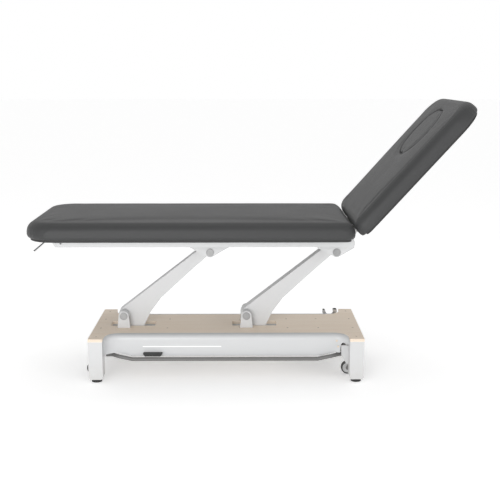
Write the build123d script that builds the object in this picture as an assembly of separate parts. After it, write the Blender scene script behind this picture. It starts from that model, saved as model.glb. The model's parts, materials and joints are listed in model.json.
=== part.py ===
from build123d import *
import math
import os

# Height-adjustable medical exam table, in millimetres.
# +X points to the head end, +Y to the far side and +Z up. The sub-parts are drawn with X
# counted from the middle of the base, and write() moves each one so that the finished
# table's origin is on the floor, under the middle of its overall box.
ORIGIN_X = 89.327

# ---------------------------------------------------------------- driving dimensions
PAD_WIDTH = 620.0
PAD_THICK = 60.0
SEAT_FOOT_X = -794.0
SEAT_HEAD_X = 506.0
SEAT_BASE_Z = 601.0
BOARD_THICK = 12.0
PAD_TOP_ROUND = 44.0
PAD_BASE_ROUND = 12.0
SEAT_WRAP = 7.0
BACK_WRAP = 11.0
BACK_LENGTH = 662.0
BACK_START_X = 534.0
BACK_ANGLE = 48.0
HINGE_X = 520.0
HINGE_Z = 609.2
FACE_X = 1000.0
FACE_A = 121.0
FACE_B = 132.0
NOTCH_R = 9.0

BASE_LENGTH = 1116.0
BASE_WIDTH = 488.0
POST = 58.0
DECK_TOP = 184.0
DECK_HALF = 150.0
DECK_FILLET = 66.0
DECK_SCREWS = [(x, y) for x in (-529, 529) for y in (-205, -72, 72, 205)]
DECK_SCREWS += [(x, y) for x in (-250, 255, 384) for y in (-72, 72)]
BEAM_TOP = 172.0
POST_BOTTOM = 14.0
COVER_HALF = 178.0
COVER_BOTTOM = 94.0
COVER_END_X = 468.0
COVER_WALL = 3.0
COVER_FLARE = 58.0
COVER_SCREWS = [(452, 158), (458, 134)]
INLET_Z = 142.0

LOWER_Z = 234.0
FOOT_PIVOT_X = -433.0
HEAD_PIVOT_X = 82.0
ARM_LENGTH = 465.5
ARM_ANGLE = 37.9
ARM_HALF = 30.0
PIN_R = 10.0
RUN_FIT = 0.05
BODY_GAP = 0.3

RAIL = 30.0
RAIL_TOP = 589.0
RAIL_OUT = 235.0
RAIL_FOOT_X = -691.0
RAIL_HEAD_X = 512.0
TUBE_WALL = 2.5
ROLL_X = -752.0
ROLL_Z = 549.0
ROLL_NEAR_Y = -280.0

LEVER_R = 95.0
LEVER_OFFSET = -132.9
ROD_Z = 145.8

CASTOR_X = 529.0
CASTOR_Y = 131.0
WHEEL_R = 27.0
WHEEL_Z = 30.0
TRAIL = 26.0
CASTOR_BAR_Z = 74.0
BAR_PIVOT_Y = -165.0
BAR_PIVOT_Z = 97.0
BAR_LOW_Z = 85.0
BAR_OUT_Y = -192.0
PEDAL_X = 452.0
PEDAL_Z = 150.0

SPRING_Y = 90.0
ANCHOR_X = 485.0
ANCHOR_Z = 540.0
TOP_PIN_X = 640.0
TOP_PIN_Z = 549.2
BACK_BAR_X = 630.0

# ---------------------------------------------------------------- derived positions
SEAT_TOP_Z = SEAT_BASE_Z + PAD_THICK
END_INNER = BASE_LENGTH / 2 - POST
END_OUTER = BASE_LENGTH / 2
POST_INNER = BASE_WIDTH / 2 - POST
ARM_DX = ARM_LENGTH * math.cos(math.radians(ARM_ANGLE))
ARM_DZ = ARM_LENGTH * math.sin(math.radians(ARM_ANGLE))
UPPER_Z = LOWER_Z + ARM_DZ
LEVER_ANGLE = math.radians(ARM_ANGLE + LEVER_OFFSET)
LEVER_PIN_X = HEAD_PIVOT_X + LEVER_R * math.cos(LEVER_ANGLE)
LEVER_PIN_Z = LOWER_Z + LEVER_R * math.sin(LEVER_ANGLE)
RAIL_BASE_Z = RAIL_TOP - RAIL
LOWER_PIVOTS = (FOOT_PIVOT_X, HEAD_PIVOT_X)
UPPER_PIVOTS = (FOOT_PIVOT_X + ARM_DX, HEAD_PIVOT_X + ARM_DX)
CROSS_X = (-640.0, UPPER_PIVOTS[0] - 95, UPPER_PIVOTS[0] + 60, UPPER_PIVOTS[1] - 95)
SEAT_SCREWS = [(x + RAIL / 2, y) for x in CROSS_X for y in (-170, 170)]
LEVELLER_Y = BASE_WIDTH / 2 - POST / 2
BACK_END_X = BACK_START_X + BACK_LENGTH


# ---------------------------------------------------------------- small helpers
def block(x0, x1, y0, y1, z0, z1):
    """A box between two corners."""
    centre = Pos((x0 + x1) / 2, (y0 + y1) / 2, (z0 + z1) / 2)
    return centre * Box(abs(x1 - x0), abs(y1 - y0), abs(z1 - z0))


def round_y(x, z, y0, y1, radius):
    """A cylinder along Y."""
    return Pos(x, (y0 + y1) / 2, z) * Rot(90, 0, 0) * Cylinder(radius, abs(y1 - y0))


def round_x(x0, x1, y, z, radius):
    """A cylinder along X."""
    return Pos((x0 + x1) / 2, y, z) * Rot(0, 90, 0) * Cylinder(radius, abs(x1 - x0))


def round_z(x, y, z0, z1, radius):
    """A cylinder along Z."""
    return Pos(x, y, (z0 + z1) / 2) * Cylinder(radius, abs(z1 - z0))


def slab_y(sketch, y0, y1):
    """A side-view sketch (its x is X, its y is Z) made as thick as y0 to y1."""
    flat = Plane(origin=(0, y1, 0), x_dir=(1, 0, 0), z_dir=(0, -1, 0))
    return extrude(flat * sketch, amount=abs(y1 - y0))


def outline(points):
    """A filled polygon."""
    return make_face(Polyline(*points, close=True))


def capsule(points, radius):
    """The rounded outline around two or more points, all with one radius."""
    discs = [Pos(*point) * Circle(radius) for point in points]
    return make_hull([edge for disc in discs for edge in disc.edges()])


def both_sides(shape):
    """The shape and its mirror image on the other side of the table."""
    return [shape, mirror(shape, about=Plane.XZ)]


def recline(shape):
    """Turn a backrest piece from the flat position up to the raised one."""
    return Pos(HINGE_X, 0, HINGE_Z) * Rot(0, -BACK_ANGLE, 0) * Pos(-HINGE_X, 0, -HINGE_Z) * shape


def write(name, pieces):
    """Move the pieces into the table's own frame and write them as one sub-part."""
    if not isinstance(pieces, (list, tuple)):
        pieces = [pieces]
    solids = [solid for piece in pieces for solid in piece.solids()]
    moved = [Pos(-ORIGIN_X, 0, 0) * solid for solid in solids]
    export_step(moved[0] if len(moved) == 1 else Compound(children=moved), f"parts/{name}.step")


# ---------------------------------------------------------------- base
def end_frame(side):
    """An inverted U of sheet steel: two hollow posts and the hollow beam between them."""
    low, high = sorted((side * END_INNER, side * END_OUTER))
    wall = 3.0
    beam_z = 112.0
    frame = block(low, high, -BASE_WIDTH / 2, BASE_WIDTH / 2, POST_BOTTOM, BEAM_TOP)
    frame -= block(low - 1, high + 1, -POST_INNER, POST_INNER, 0, beam_z)
    lower = frame.edges().filter_by(Axis.Y).group_by(Axis.Z)[0]
    frame = fillet(lower, 10)
    frame -= block(low + wall, high - wall, -BASE_WIDTH / 2 + wall, BASE_WIDTH / 2 - wall,
                   beam_z + wall, BEAM_TOP - wall)
    for y_sign in (-1, 1):
        inner, outer = sorted((y_sign * (POST_INNER + wall), y_sign * (BASE_WIDTH / 2 - wall)))
        frame -= block(low + wall, high - wall, inner, outer, POST_BOTTOM + 12, BEAM_TOP - wall)
        frame -= round_z(side * (END_INNER + POST / 2), y_sign * LEVELLER_Y, POST_BOTTOM - 2, 40, 6.05)
    return frame


def deck_plan(grow):
    """The deck's outline: narrow between the end frames, with hollow curves out to them."""
    half = DECK_HALF + grow
    middle = Rectangle(2 * END_INNER + 2, 2 * half)
    wide = Rectangle(BASE_LENGTH, BASE_WIDTH)
    waist = Rectangle(2 * END_INNER, BASE_WIDTH + 2)
    plan = (wide - waist) + middle
    inside = [v for v in plan.vertices() if abs(abs(v.X) - END_INNER) < 1.5 and abs(abs(v.Y) - half) < 1]
    return fillet(inside, DECK_FILLET - grow)


def deck_board():
    """The plywood deck, with slots for the arms and for the pivot ears."""
    board = extrude(Pos(0, 0, BEAM_TOP) * deck_plan(0), amount=DECK_TOP - BEAM_TOP)
    for pivot in LOWER_PIVOTS:
        board -= block(pivot - 60, pivot + 128, -36, 36, 160, 190)
        for y_sign in (-1, 1):
            board -= block(pivot - 30, pivot + 30, y_sign * 59.5, y_sign * 70.5, 160, 190)
    for x, y in DECK_SCREWS:
        board -= round_z(x, y, 160, DECK_TOP, 2.5)
        board -= round_z(x, y, DECK_TOP - 3, DECK_TOP + 1, 5.0)
    return board


def deck_screw(x, y):
    """A countersunk-look deck screw, flush with the wood."""
    return round_z(x, y, BEAM_TOP, DECK_TOP - 3, 2.5) + round_z(x, y, DECK_TOP - 3, DECK_TOP - 0.2, 5.0)


def cover_body(inset, end_x):
    """The near cover's outer form up to end_x, made smaller all round by inset."""
    face_y = COVER_HALF - inset
    flare = COVER_FLARE + inset
    low = -END_INNER + BODY_GAP
    high = end_x
    plan = Rectangle(2 * END_INNER, 2 * face_y)
    plan += Pos(-END_INNER - 30, 0) * Rectangle(60, 2 * (face_y + flare))
    plan += Pos(END_INNER + 30, 0) * Rectangle(60, 2 * (face_y + flare))
    corners = [v for v in plan.vertices() if abs(abs(v.X) - END_INNER) < 1 and abs(abs(v.Y) - face_y) < 1]
    plan = fillet(corners, flare - 0.5)
    body = extrude(Pos(0, 0, COVER_BOTTOM - 1) * plan, amount=DECK_TOP - inset - COVER_BOTTOM + 1)
    body &= block(low, high, -BASE_WIDTH, 0, 0, 300)
    edges = [e for e in body.edges() if e.center().Z > DECK_TOP - inset - 0.01 and e.center().Y < -face_y + 60
             and e.bounding_box().size.X > 20 and abs(e.center().Y) > 100]
    return fillet(edges, 20 - inset)


def side_cover(end_x, end_wall):
    """A side cover as on the near side: a shell with a rounded top edge and a flared foot end."""
    cover = cover_body(0, end_x) - cover_body(COVER_WALL, end_x - end_wall)
    cover -= extrude(Pos(0, 0, 50) * deck_plan(BODY_GAP), amount=200)
    rise = [(389, COVER_BOTTOM - 5), (389, COVER_BOTTOM), (445, COVER_BOTTOM + 14),
            (560, COVER_BOTTOM + 14), (560, COVER_BOTTOM - 5)]
    for x_sign in (-1, 1):
        cover -= slab_y(outline([(x_sign * x, z) for x, z in rise]), -BASE_WIDTH, 0)
    cover -= block(-600, 600, -BASE_WIDTH, 0, 0, COVER_BOTTOM)
    castor_bay = [(COVER_END_X - 2, COVER_BOTTOM - 5), (COVER_END_X - 2, 118), (COVER_END_X + 1, 143),
                  (COVER_END_X + 8, 152), (560, 152), (560, COVER_BOTTOM - 5)]
    cover -= slab_y(outline(castor_bay), -BASE_WIDTH, 0)
    for x, z in COVER_SCREWS:
        cover -= round_y(x, z, -COVER_HALF - 6, -COVER_HALF + 6, 2.0)
        cover -= round_y(x, z, -COVER_HALF - 6, -cover_face_y(x), 4.0)
    return cover


def cover_screw(x, z):
    """A button-head screw through the near cover's face at its head end."""
    y = -cover_face_y(x)
    return round_y(x, z, y - 2.5, y, 4.0) + round_y(x, z, y, y + 6, 2.0)


def cover_face_y(x):
    """How far out the cover's face is at X, counting the flare's arc."""
    start = END_INNER - 57.5
    if x <= start:
        return COVER_HALF
    return COVER_HALF + 57.5 - math.sqrt(57.5 ** 2 - (x - start) ** 2)


def ear():
    """One pivot ear: rounded at the top, wider where it is welded to the beam."""
    top = Pos(0, LOWER_Z) * Circle(21)
    foot = outline([(-21, LOWER_Z), (21, LOWER_Z), (28, BEAM_TOP), (-28, BEAM_TOP)])
    return (top + foot) - Pos(0, LOWER_Z) * Circle(PIN_R)


def chassis_frame():
    """Two rectangular steel tubes with three cross members between them."""
    frame = None
    for y_sign in (-1, 1):
        tube = block(-END_INNER, END_INNER, y_sign * 57, y_sign * 87, 122, BEAM_TOP)
        tube -= block(-END_INNER - 1, END_INNER + 1, y_sign * 60, y_sign * 84, 125, BEAM_TOP - 3)
        frame = tube if frame is None else frame + tube
    for x0 in (-320, 240, 440):
        member = block(x0, x0 + 30, -57, 57, 125, BEAM_TOP)
        member -= block(x0 + 3, x0 + 27, -60, 60, 128, BEAM_TOP - 3)
        frame += member
    return frame


def pin_cap(x, z, y):
    """A turned cap over a pivot pin's end, slightly domed."""
    side = 1 if y > 0 else -1
    cap = round_y(x, z, y, y + side * 3, 16)
    rim = cap.faces().sort_by(Axis.Y)[-1 if side > 0 else 0].edges()
    return fillet(rim, 1.2)


# ---------------------------------------------------------------- arms
def arm_shape():
    """The arm's side view at its rest angle, about its lower pivot at (0, LOWER_Z)."""
    points = [(-6, -25), (ARM_LENGTH, -24), (ARM_LENGTH, 17), (350, 24), (265, 31), (165, 40),
              (93, 60), (32, 90), (-2, 64), (-18, 18)]
    turned = []
    angle = math.radians(ARM_ANGLE)
    for along, below in points:
        x = along * math.cos(angle) + below * math.sin(angle)
        z = along * math.sin(angle) - below * math.cos(angle)
        turned.append((x, LOWER_Z + z))
    shape = outline(turned) + Pos(0, LOWER_Z) * Circle(25) + Pos(ARM_DX, UPPER_Z) * Circle(24)
    return shape


def arm(pivot, has_lever):
    """A box-section arm with a hub at its foot and a torsion tube at its top."""
    wall = 4.0
    body = slab_y(arm_shape(), -ARM_HALF, ARM_HALF)
    core = slab_y(offset(arm_shape(), -wall), -ARM_HALF + wall, ARM_HALF - wall)
    body -= core
    body -= slab_y(outline([(20, 160), (66, 160), (66, 190), (20, 190)]), -ARM_HALF + wall, ARM_HALF - wall)
    body += round_y(0, LOWER_Z, -57, 57, 22)
    body += round_y(ARM_DX, UPPER_Z, -133, 133, 21)
    if has_lever:
        plate = capsule([(0, LOWER_Z), (LEVER_PIN_X - pivot, LEVER_PIN_Z)], 15)
        for y_sign in (-1, 1):
            body += slab_y(plate, min(y_sign * 11, y_sign * 19), max(y_sign * 11, y_sign * 19))
        body -= round_y(LEVER_PIN_X - pivot, LEVER_PIN_Z, -40, 40, 5)
    body -= round_y(0, LOWER_Z, -60, 60, 12.5)
    body -= round_y(ARM_DX, UPPER_Z, -140, 140, 12.5)
    return Pos(pivot, 0, 0) * body


def bushes(pivot, gap):
    """The four plain bushes that an arm turns on, two at each end."""
    rings = []
    for x, z, reach, play in ((0, LOWER_Z, 57, RUN_FIT), (ARM_DX, UPPER_Z, 133, gap)):
        for y_sign in (-1, 1):
            y0, y1 = sorted((y_sign * (reach - 22), y_sign * reach))
            ring = round_y(pivot + x, z, y0, y1, 12.5) - round_y(pivot + x, z, y0 - 1, y1 + 1, PIN_R + play)
            rings.append(ring)
    return rings


# ---------------------------------------------------------------- actuator
def actuator_tube():
    """The outer tube, open at its head end, where the rod comes out."""
    tube = round_x(-196, 2, 0, ROD_Z, 20)
    return tube - round_x(-192, 3, 0, ROD_Z, 16.5)


def actuator_rod():
    """The push rod with its eye, level at every height."""
    rod = round_x(LEVER_PIN_X - 219, LEVER_PIN_X - 8, 0, LEVER_PIN_Z, 9)
    rod += round_y(LEVER_PIN_X, LEVER_PIN_Z, -10, 10, 13)
    return rod - round_y(LEVER_PIN_X, LEVER_PIN_Z, -12, 12, 5 + RUN_FIT)


def actuator_gearbox():
    """The gear case with its rear eye."""
    case = block(-246, -196, -26, 55, 121, 170)
    case = fillet(case.edges().filter_by(Axis.X), 6)
    case += block(-262, -244, -11, 11, ROD_Z - 11, ROD_Z + 11) + round_y(-262, ROD_Z, -11, 11, 11)
    return case - round_y(-262, ROD_Z, -20, 20, 5)


def actuator_bracket():
    """The fork that holds the actuator's rear eye, and its pin."""
    plate = make_hull((Pos(-262, ROD_Z) * Circle(12)).edges()
                      + outline([(-290, ROD_Z - 18), (-286, ROD_Z - 18), (-286, ROD_Z + 18),
                                 (-290, ROD_Z + 18)]).edges())
    fork = [slab_y(plate - Pos(-262, ROD_Z) * Circle(5), y, y + 5) for y in (-17, 12)]
    return fork + [round_y(-262, ROD_Z, -19, 19, 5)]


# ---------------------------------------------------------------- upper frame
def side_rail():
    """The near rail: square tube, cut at an angle at the foot and rounded at the head."""
    side = outline([(RAIL_FOOT_X, RAIL_TOP), (RAIL_HEAD_X, RAIL_TOP), (RAIL_HEAD_X, RAIL_BASE_Z),
                    (RAIL_FOOT_X + 15, RAIL_BASE_Z)])
    rail = slab_y(side, -RAIL_OUT, -RAIL_OUT + RAIL)
    ends = [e for e in rail.edges().filter_by(Axis.Y) if e.center().X > RAIL_HEAD_X - 1]
    rail = fillet(ends, 13)
    rail -= block(RAIL_FOOT_X - 5, RAIL_HEAD_X - 6, -RAIL_OUT + TUBE_WALL, -RAIL_OUT + RAIL - TUBE_WALL,
                  RAIL_BASE_Z + TUBE_WALL, RAIL_TOP - TUBE_WALL)
    return rail - round_y(RAIL_FOOT_X + 38, RAIL_TOP - 15, -RAIL_OUT - 1, -RAIL_OUT + 3, 3.5)


def gusset(pivot):
    """One hanging gusset plate, with its pivot hole at the bottom."""
    right = min(pivot + 102, 520)
    slope_z = RAIL_BASE_Z - 2 - 0.6 * (pivot + 102 - right)
    plate = make_hull(
        (Pos(pivot, UPPER_Z) * Circle(20)).edges()
        + outline([(pivot - 111, RAIL_BASE_Z), (right, RAIL_BASE_Z), (right, slope_z),
                   (pivot - 111, RAIL_BASE_Z - 2)]).edges())
    return plate - Pos(pivot, UPPER_Z) * Circle(PIN_R)


def cross_members():
    """The cross tubes between the rails, the hinge stubs and the two hinge plates."""
    inner = RAIL_OUT - RAIL
    pieces = []
    for x0 in CROSS_X:
        tube = block(x0, x0 + RAIL, -inner, inner, RAIL_BASE_Z, RAIL_TOP)
        pieces.append(tube - block(x0 + TUBE_WALL, x0 + RAIL - TUBE_WALL, -inner - 1, inner + 1,
                                   RAIL_BASE_Z + TUBE_WALL, RAIL_TOP - TUBE_WALL))
    plate = make_hull((Pos(HINGE_X, HINGE_Z) * Circle(11)).edges()
                      + outline([(494, 563), (512, 563), (512, 586), (497, 586)]).edges())
    plate -= Pos(HINGE_X, HINGE_Z) * Circle(6)
    stub = block(466, 496, 108, inner, RAIL_BASE_Z, RAIL_TOP)
    stub += slab_y(plate, 130, 138)
    pieces += both_sides(stub)
    holes = [round_z(x, y, 500, 600, 3) for x, y in SEAT_SCREWS]
    drilled = []
    for piece in pieces:
        for hole in holes:
            piece = piece - hole
        drilled.append(piece)
    return drilled


def seat_screw(x, y):
    """A button-head screw up through a cross tube into the seat board."""
    return round_z(x, y, RAIL_BASE_Z - 4, RAIL_BASE_Z, 6) + round_z(x, y, RAIL_BASE_Z, 598, 3)


def plan_plate(x0, x1, half, foot_r, head_r):
    """A plan outline with one corner radius at the foot end and one at the head end."""
    plan = Pos((x0 + x1) / 2, 0) * Rectangle(x1 - x0, 2 * half)
    foot = plan.vertices().group_by(Axis.X)[0]
    plan = fillet(foot, foot_r)
    head = [v for v in plan.vertices() if v.X > x1 - 1]
    return fillet(head, head_r)


def pad(plan, wrap, pocket):
    """A foam pad with a soft top edge, whose rim wraps down round its board's edge."""
    body = extrude(Pos(0, 0, SEAT_BASE_Z - wrap) * plan, amount=PAD_THICK + wrap)
    body = fillet(body.faces().sort_by(Axis.Z)[-1].edges(), PAD_TOP_ROUND)
    body = fillet(body.faces().sort_by(Axis.Z)[0].edges(), PAD_BASE_ROUND)
    return body - extrude(Pos(0, 0, SEAT_BASE_Z - wrap - 1) * pocket, amount=wrap + 1)


def seat_board_plan(grow):
    """The seat board's outline, larger all round by grow."""
    return plan_plate(SEAT_FOOT_X + 16 - grow, SEAT_HEAD_X - 12 + grow, PAD_WIDTH / 2 - 14 + grow,
                      106 + grow, 30 + grow)


def back_board_plan(grow):
    """The backrest board's outline, larger all round by grow."""
    return plan_plate(BACK_START_X + 14 - grow, BACK_END_X - 14 + grow, PAD_WIDTH / 2 - 14 + grow,
                      28 + grow, 96 + grow)


def paper_roll_rod():
    """A bent rod: across the foot end, then back into the far rail's open end."""
    far_y = RAIL_OUT - RAIL / 2
    rail_z = RAIL_TOP - RAIL / 2
    path = FilletPolyline((ROLL_X, ROLL_NEAR_Y, ROLL_Z), (ROLL_X, far_y, ROLL_Z),
                          (RAIL_FOOT_X - 14, far_y, rail_z), (RAIL_FOOT_X + 90, far_y, rail_z), radius=14)
    section = Plane(origin=(ROLL_X, ROLL_NEAR_Y, ROLL_Z), z_dir=(0, 1, 0)) * Circle(4.5)
    return sweep(section, path=path)


def rail_plug():
    """The far rail's end block, which grips the roll rod."""
    far_y = RAIL_OUT - RAIL / 2
    plug = block(RAIL_FOOT_X + 16, RAIL_FOOT_X + 60, far_y - 12.4, far_y + 12.4,
                 RAIL_BASE_Z + 2.6, RAIL_TOP - 2.6)
    return plug - round_x(RAIL_FOOT_X, RAIL_FOOT_X + 80, far_y, RAIL_TOP - RAIL / 2, 4.5)


# ---------------------------------------------------------------- backrest (drawn flat)
def backrest_frame():
    """Two tubes with hinge eyes, two cross bars, the gas spring's lugs and its pin."""
    eye = make_hull((Pos(HINGE_X, HINGE_Z) * Circle(11)).edges() + (Pos(545, 584) * Circle(3)).edges())
    eye += outline([(542, 583), (546, 588.5), (600, 588.5), (600, 569), (552, 569)])
    eye -= Pos(HINGE_X, HINGE_Z) * Circle(6 + RUN_FIT)
    side = block(552, 1110, 108, 128, 569, RAIL_TOP) - block(590, 1111, 110, 126, 571, 587)
    side += slab_y(eye, 108, 128)
    frame = side + mirror(side, about=Plane.XZ)
    for x0 in (BACK_BAR_X, 1080):
        frame += block(x0, x0 + 20, -110, 110, 569, RAIL_TOP)
    lug = capsule([(TOP_PIN_X, TOP_PIN_Z), (TOP_PIN_X, 575)], 9) - Pos(TOP_PIN_X, TOP_PIN_Z) * Circle(4)
    for y in (SPRING_Y - 14, SPRING_Y + 9):
        frame += slab_y(lug, y, y + 5)
    return [frame, round_y(TOP_PIN_X, TOP_PIN_Z, SPRING_Y - 17, SPRING_Y + 17, 4)]


def face_oval(shrink):
    """The oval of the face opening, smaller all round by shrink."""
    return Pos(FACE_X, 0) * Ellipse(FACE_A - shrink, FACE_B - shrink)


def backrest_pad():
    """The backrest's pad, with the face opening right through it."""
    plan = plan_plate(BACK_START_X, BACK_END_X, PAD_WIDTH / 2, 46, 110)
    body = pad(plan, BACK_WRAP, back_board_plan(BODY_GAP))
    for relief in both_sides(block(BACK_START_X - 4, BACK_START_X + 16, 106, 130, 586, HINGE_Z)):
        body -= relief
    return body - extrude(Pos(0, 0, 500) * face_oval(0), amount=300)


def backrest_board():
    """The backrest's plywood, whose smaller oval leaves a ledge under the plug."""
    board = extrude(Pos(0, 0, RAIL_TOP) * back_board_plan(0), amount=BOARD_THICK)
    return board - extrude(Pos(0, 0, 500) * face_oval(16), amount=300)


def face_plug():
    """The foam plug that closes the face opening, with a finger notch at either end."""
    plan = face_oval(1.5)
    for x_sign in (-1, 1):
        plan -= Pos(FACE_X + x_sign * FACE_A, 0) * Circle(NOTCH_R)
    plug = extrude(Pos(0, 0, SEAT_BASE_Z) * plan, amount=PAD_THICK - 4)
    return fillet(plug.faces().sort_by(Axis.Z)[-1].edges(), 5)


def spring_line():
    """The gas spring's length at rest and its slope, from its two pins."""
    top = recline(Pos(TOP_PIN_X, SPRING_Y, TOP_PIN_Z) * Sphere(1)).center()
    dx = top.X - ANCHOR_X
    dz = top.Z - ANCHOR_Z
    return math.hypot(dx, dz), math.degrees(math.atan2(dz, dx))


def along_spring(shape):
    """Place a shape drawn along +X from the anchor's centre onto the spring's line."""
    return Pos(ANCHOR_X, SPRING_Y, ANCHOR_Z) * Rot(0, -spring_line()[1], 0) * shape


def gas_cylinder():
    """The gas spring's cylinder with its eye on the anchor rod."""
    body = round_x(14, 120, 0, 0, 10) - round_x(22, 121, 0, 0, 7)
    eye = round_y(0, 0, -8, 8, 10) + block(4, 16, -6, 6, -6, 6)
    return along_spring(body + eye - round_y(0, 0, -10, 10, 6 + RUN_FIT))


def gas_rod():
    """The gas spring's rod with its eye on the backrest's pin."""
    length = spring_line()[0]
    rod = round_x(length - 130, length - 6, 0, 0, 4) + round_y(length, 0, -8, 8, 8)
    return along_spring(rod - round_y(length, 0, -10, 10, 4 + RUN_FIT))


def release_lever():
    """The backrest's release: a flat lever, its handle rod, its pivot boss and a grip."""
    plate = capsule([(700, 579), (820, 562)], 7)
    lever = slab_y(plate, 131, 136) + round_y(820, 562, 131, 284, 4)
    lever -= round_y(700, 579, 120, 140, 3 + RUN_FIT)
    grip = round_y(820, 562, 190, 290, 8) - round_y(820, 562, 180, 284, 4)
    return [lever, fillet(grip.edges().group_by(Axis.Y)[-1], 2)]


# ---------------------------------------------------------------- foot bar, castors, feet
def foot_bar():
    """The near foot bar: a bent steel rod with a journal at each end."""
    path = FilletPolyline((-496, BAR_PIVOT_Y, BAR_PIVOT_Z), (-470, BAR_PIVOT_Y, BAR_PIVOT_Z),
                          (-440, BAR_OUT_Y, BAR_PIVOT_Z), (-385, BAR_OUT_Y, BAR_LOW_Z),
                          (373, BAR_OUT_Y, BAR_LOW_Z), (430, BAR_OUT_Y, BAR_PIVOT_Z),
                          (466, BAR_PIVOT_Y, BAR_PIVOT_Z), (496, BAR_PIVOT_Y, BAR_PIVOT_Z), radius=12)
    section = Plane(origin=(-496, BAR_PIVOT_Y, BAR_PIVOT_Z), z_dir=(1, 0, 0)) * Circle(8)
    return sweep(section, path=path)


def switch_housing():
    """The foot switch: a small black block on the near cover, above the bar."""
    side = outline([(-343, 111), (-261, 111), (-270, 97.5), (-334, 97.5)])
    body = slab_y(side, -197, -COVER_HALF)
    return fillet(body.edges().filter_by(Axis.Y), 2)


def castor_bar(side):
    """A lifting bar: it carries two castors and slides down between the posts."""
    top = CASTOR_BAR_Z + 22
    bar = block(side * CASTOR_X - 16, side * CASTOR_X + 16, -178, 178, CASTOR_BAR_Z, top)
    for y_sign in (-1, 1):
        bar -= round_z(side * CASTOR_X, y_sign * CASTOR_Y, CASTOR_BAR_Z - 1, top + 1, 5 + RUN_FIT)
    return bar


def castor_fork(x, y):
    """A castor's fork: king pin, crown, two trailing legs and the wheel's axle."""
    axle_x = x - TRAIL
    crown_z = CASTOR_BAR_Z - 10
    fork = round_z(x, y, crown_z, CASTOR_BAR_Z + 20, 5) + round_z(x, y, crown_z, CASTOR_BAR_Z - 1, 16)
    leg = capsule([(axle_x, WHEEL_Z), (x, crown_z)], 8)
    for y0 in (y - 15, y + 12):
        fork += slab_y(leg, y0, y0 + 3)
    fork += block(x - 10, x + 8, y - 15, y + 15, crown_z, crown_z + 7)
    return fork + round_y(axle_x, WHEEL_Z, y - 15, y + 15, 4)


def castor_wheel(x, y):
    """A castor's wheel: a nylon hub on the axle with a grey tyre round it."""
    axle_x = x - TRAIL
    hub = round_y(axle_x, WHEEL_Z, y - 10.5, y + 10.5, 8) + round_y(axle_x, WHEEL_Z, y - 8, y + 8, 21)
    hub -= round_y(axle_x, WHEEL_Z, y - 20, y + 20, 4 + RUN_FIT)
    tyre = round_y(axle_x, WHEEL_Z, y - 10, y + 10, WHEEL_R) - round_y(axle_x, WHEEL_Z, y - 11, y + 11, 21)
    crown = [e for e in tyre.edges() if e.geom_type == GeomType.CIRCLE and e.radius > WHEEL_R - 1]
    return [hub, fillet(crown, 4)]


def castor_guide():
    """The grey guide bracket beside the head lifting bar, on the end frame's inner face."""
    side = outline([(470, 140), (END_INNER, 140), (END_INNER, 62), (492, 62), (472, 96)])
    return slab_y(side, -188, -182)


def castor_pedal():
    """The castor rocker on the far side: a shaft, two arms and two foot pads."""
    arms = capsule([(PEDAL_X, PEDAL_Z), (430, 184)], 7) + capsule([(PEDAL_X, PEDAL_Z), (478, 182)], 7)
    rocker = slab_y(arms, 188, 194) + round_y(PEDAL_X, PEDAL_Z, 88, 196, 8)
    pads = [block(424, 436, 184, 214, 185, 193), block(470, 488, 184, 214, 183, 196)]
    rocker += block(426, 434, 186, 212, 178, 186) + block(474, 482, 186, 212, 176, 184)
    return [rocker - pads[0] - pads[1]] + [fillet(p.edges().filter_by(Axis.Y), 2) for p in pads]


def leveller(x, y):
    """A levelling foot: a moulded pad on a threaded stud."""
    foot = round_z(x, y, 0, 8, 21)
    foot = fillet(foot.edges().group_by(Axis.Z)[-1], 3)
    foot += Pos(x, y, 10) * Cone(15, 9, 5)
    return foot + round_z(x, y, 8, 60, 6)


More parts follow.
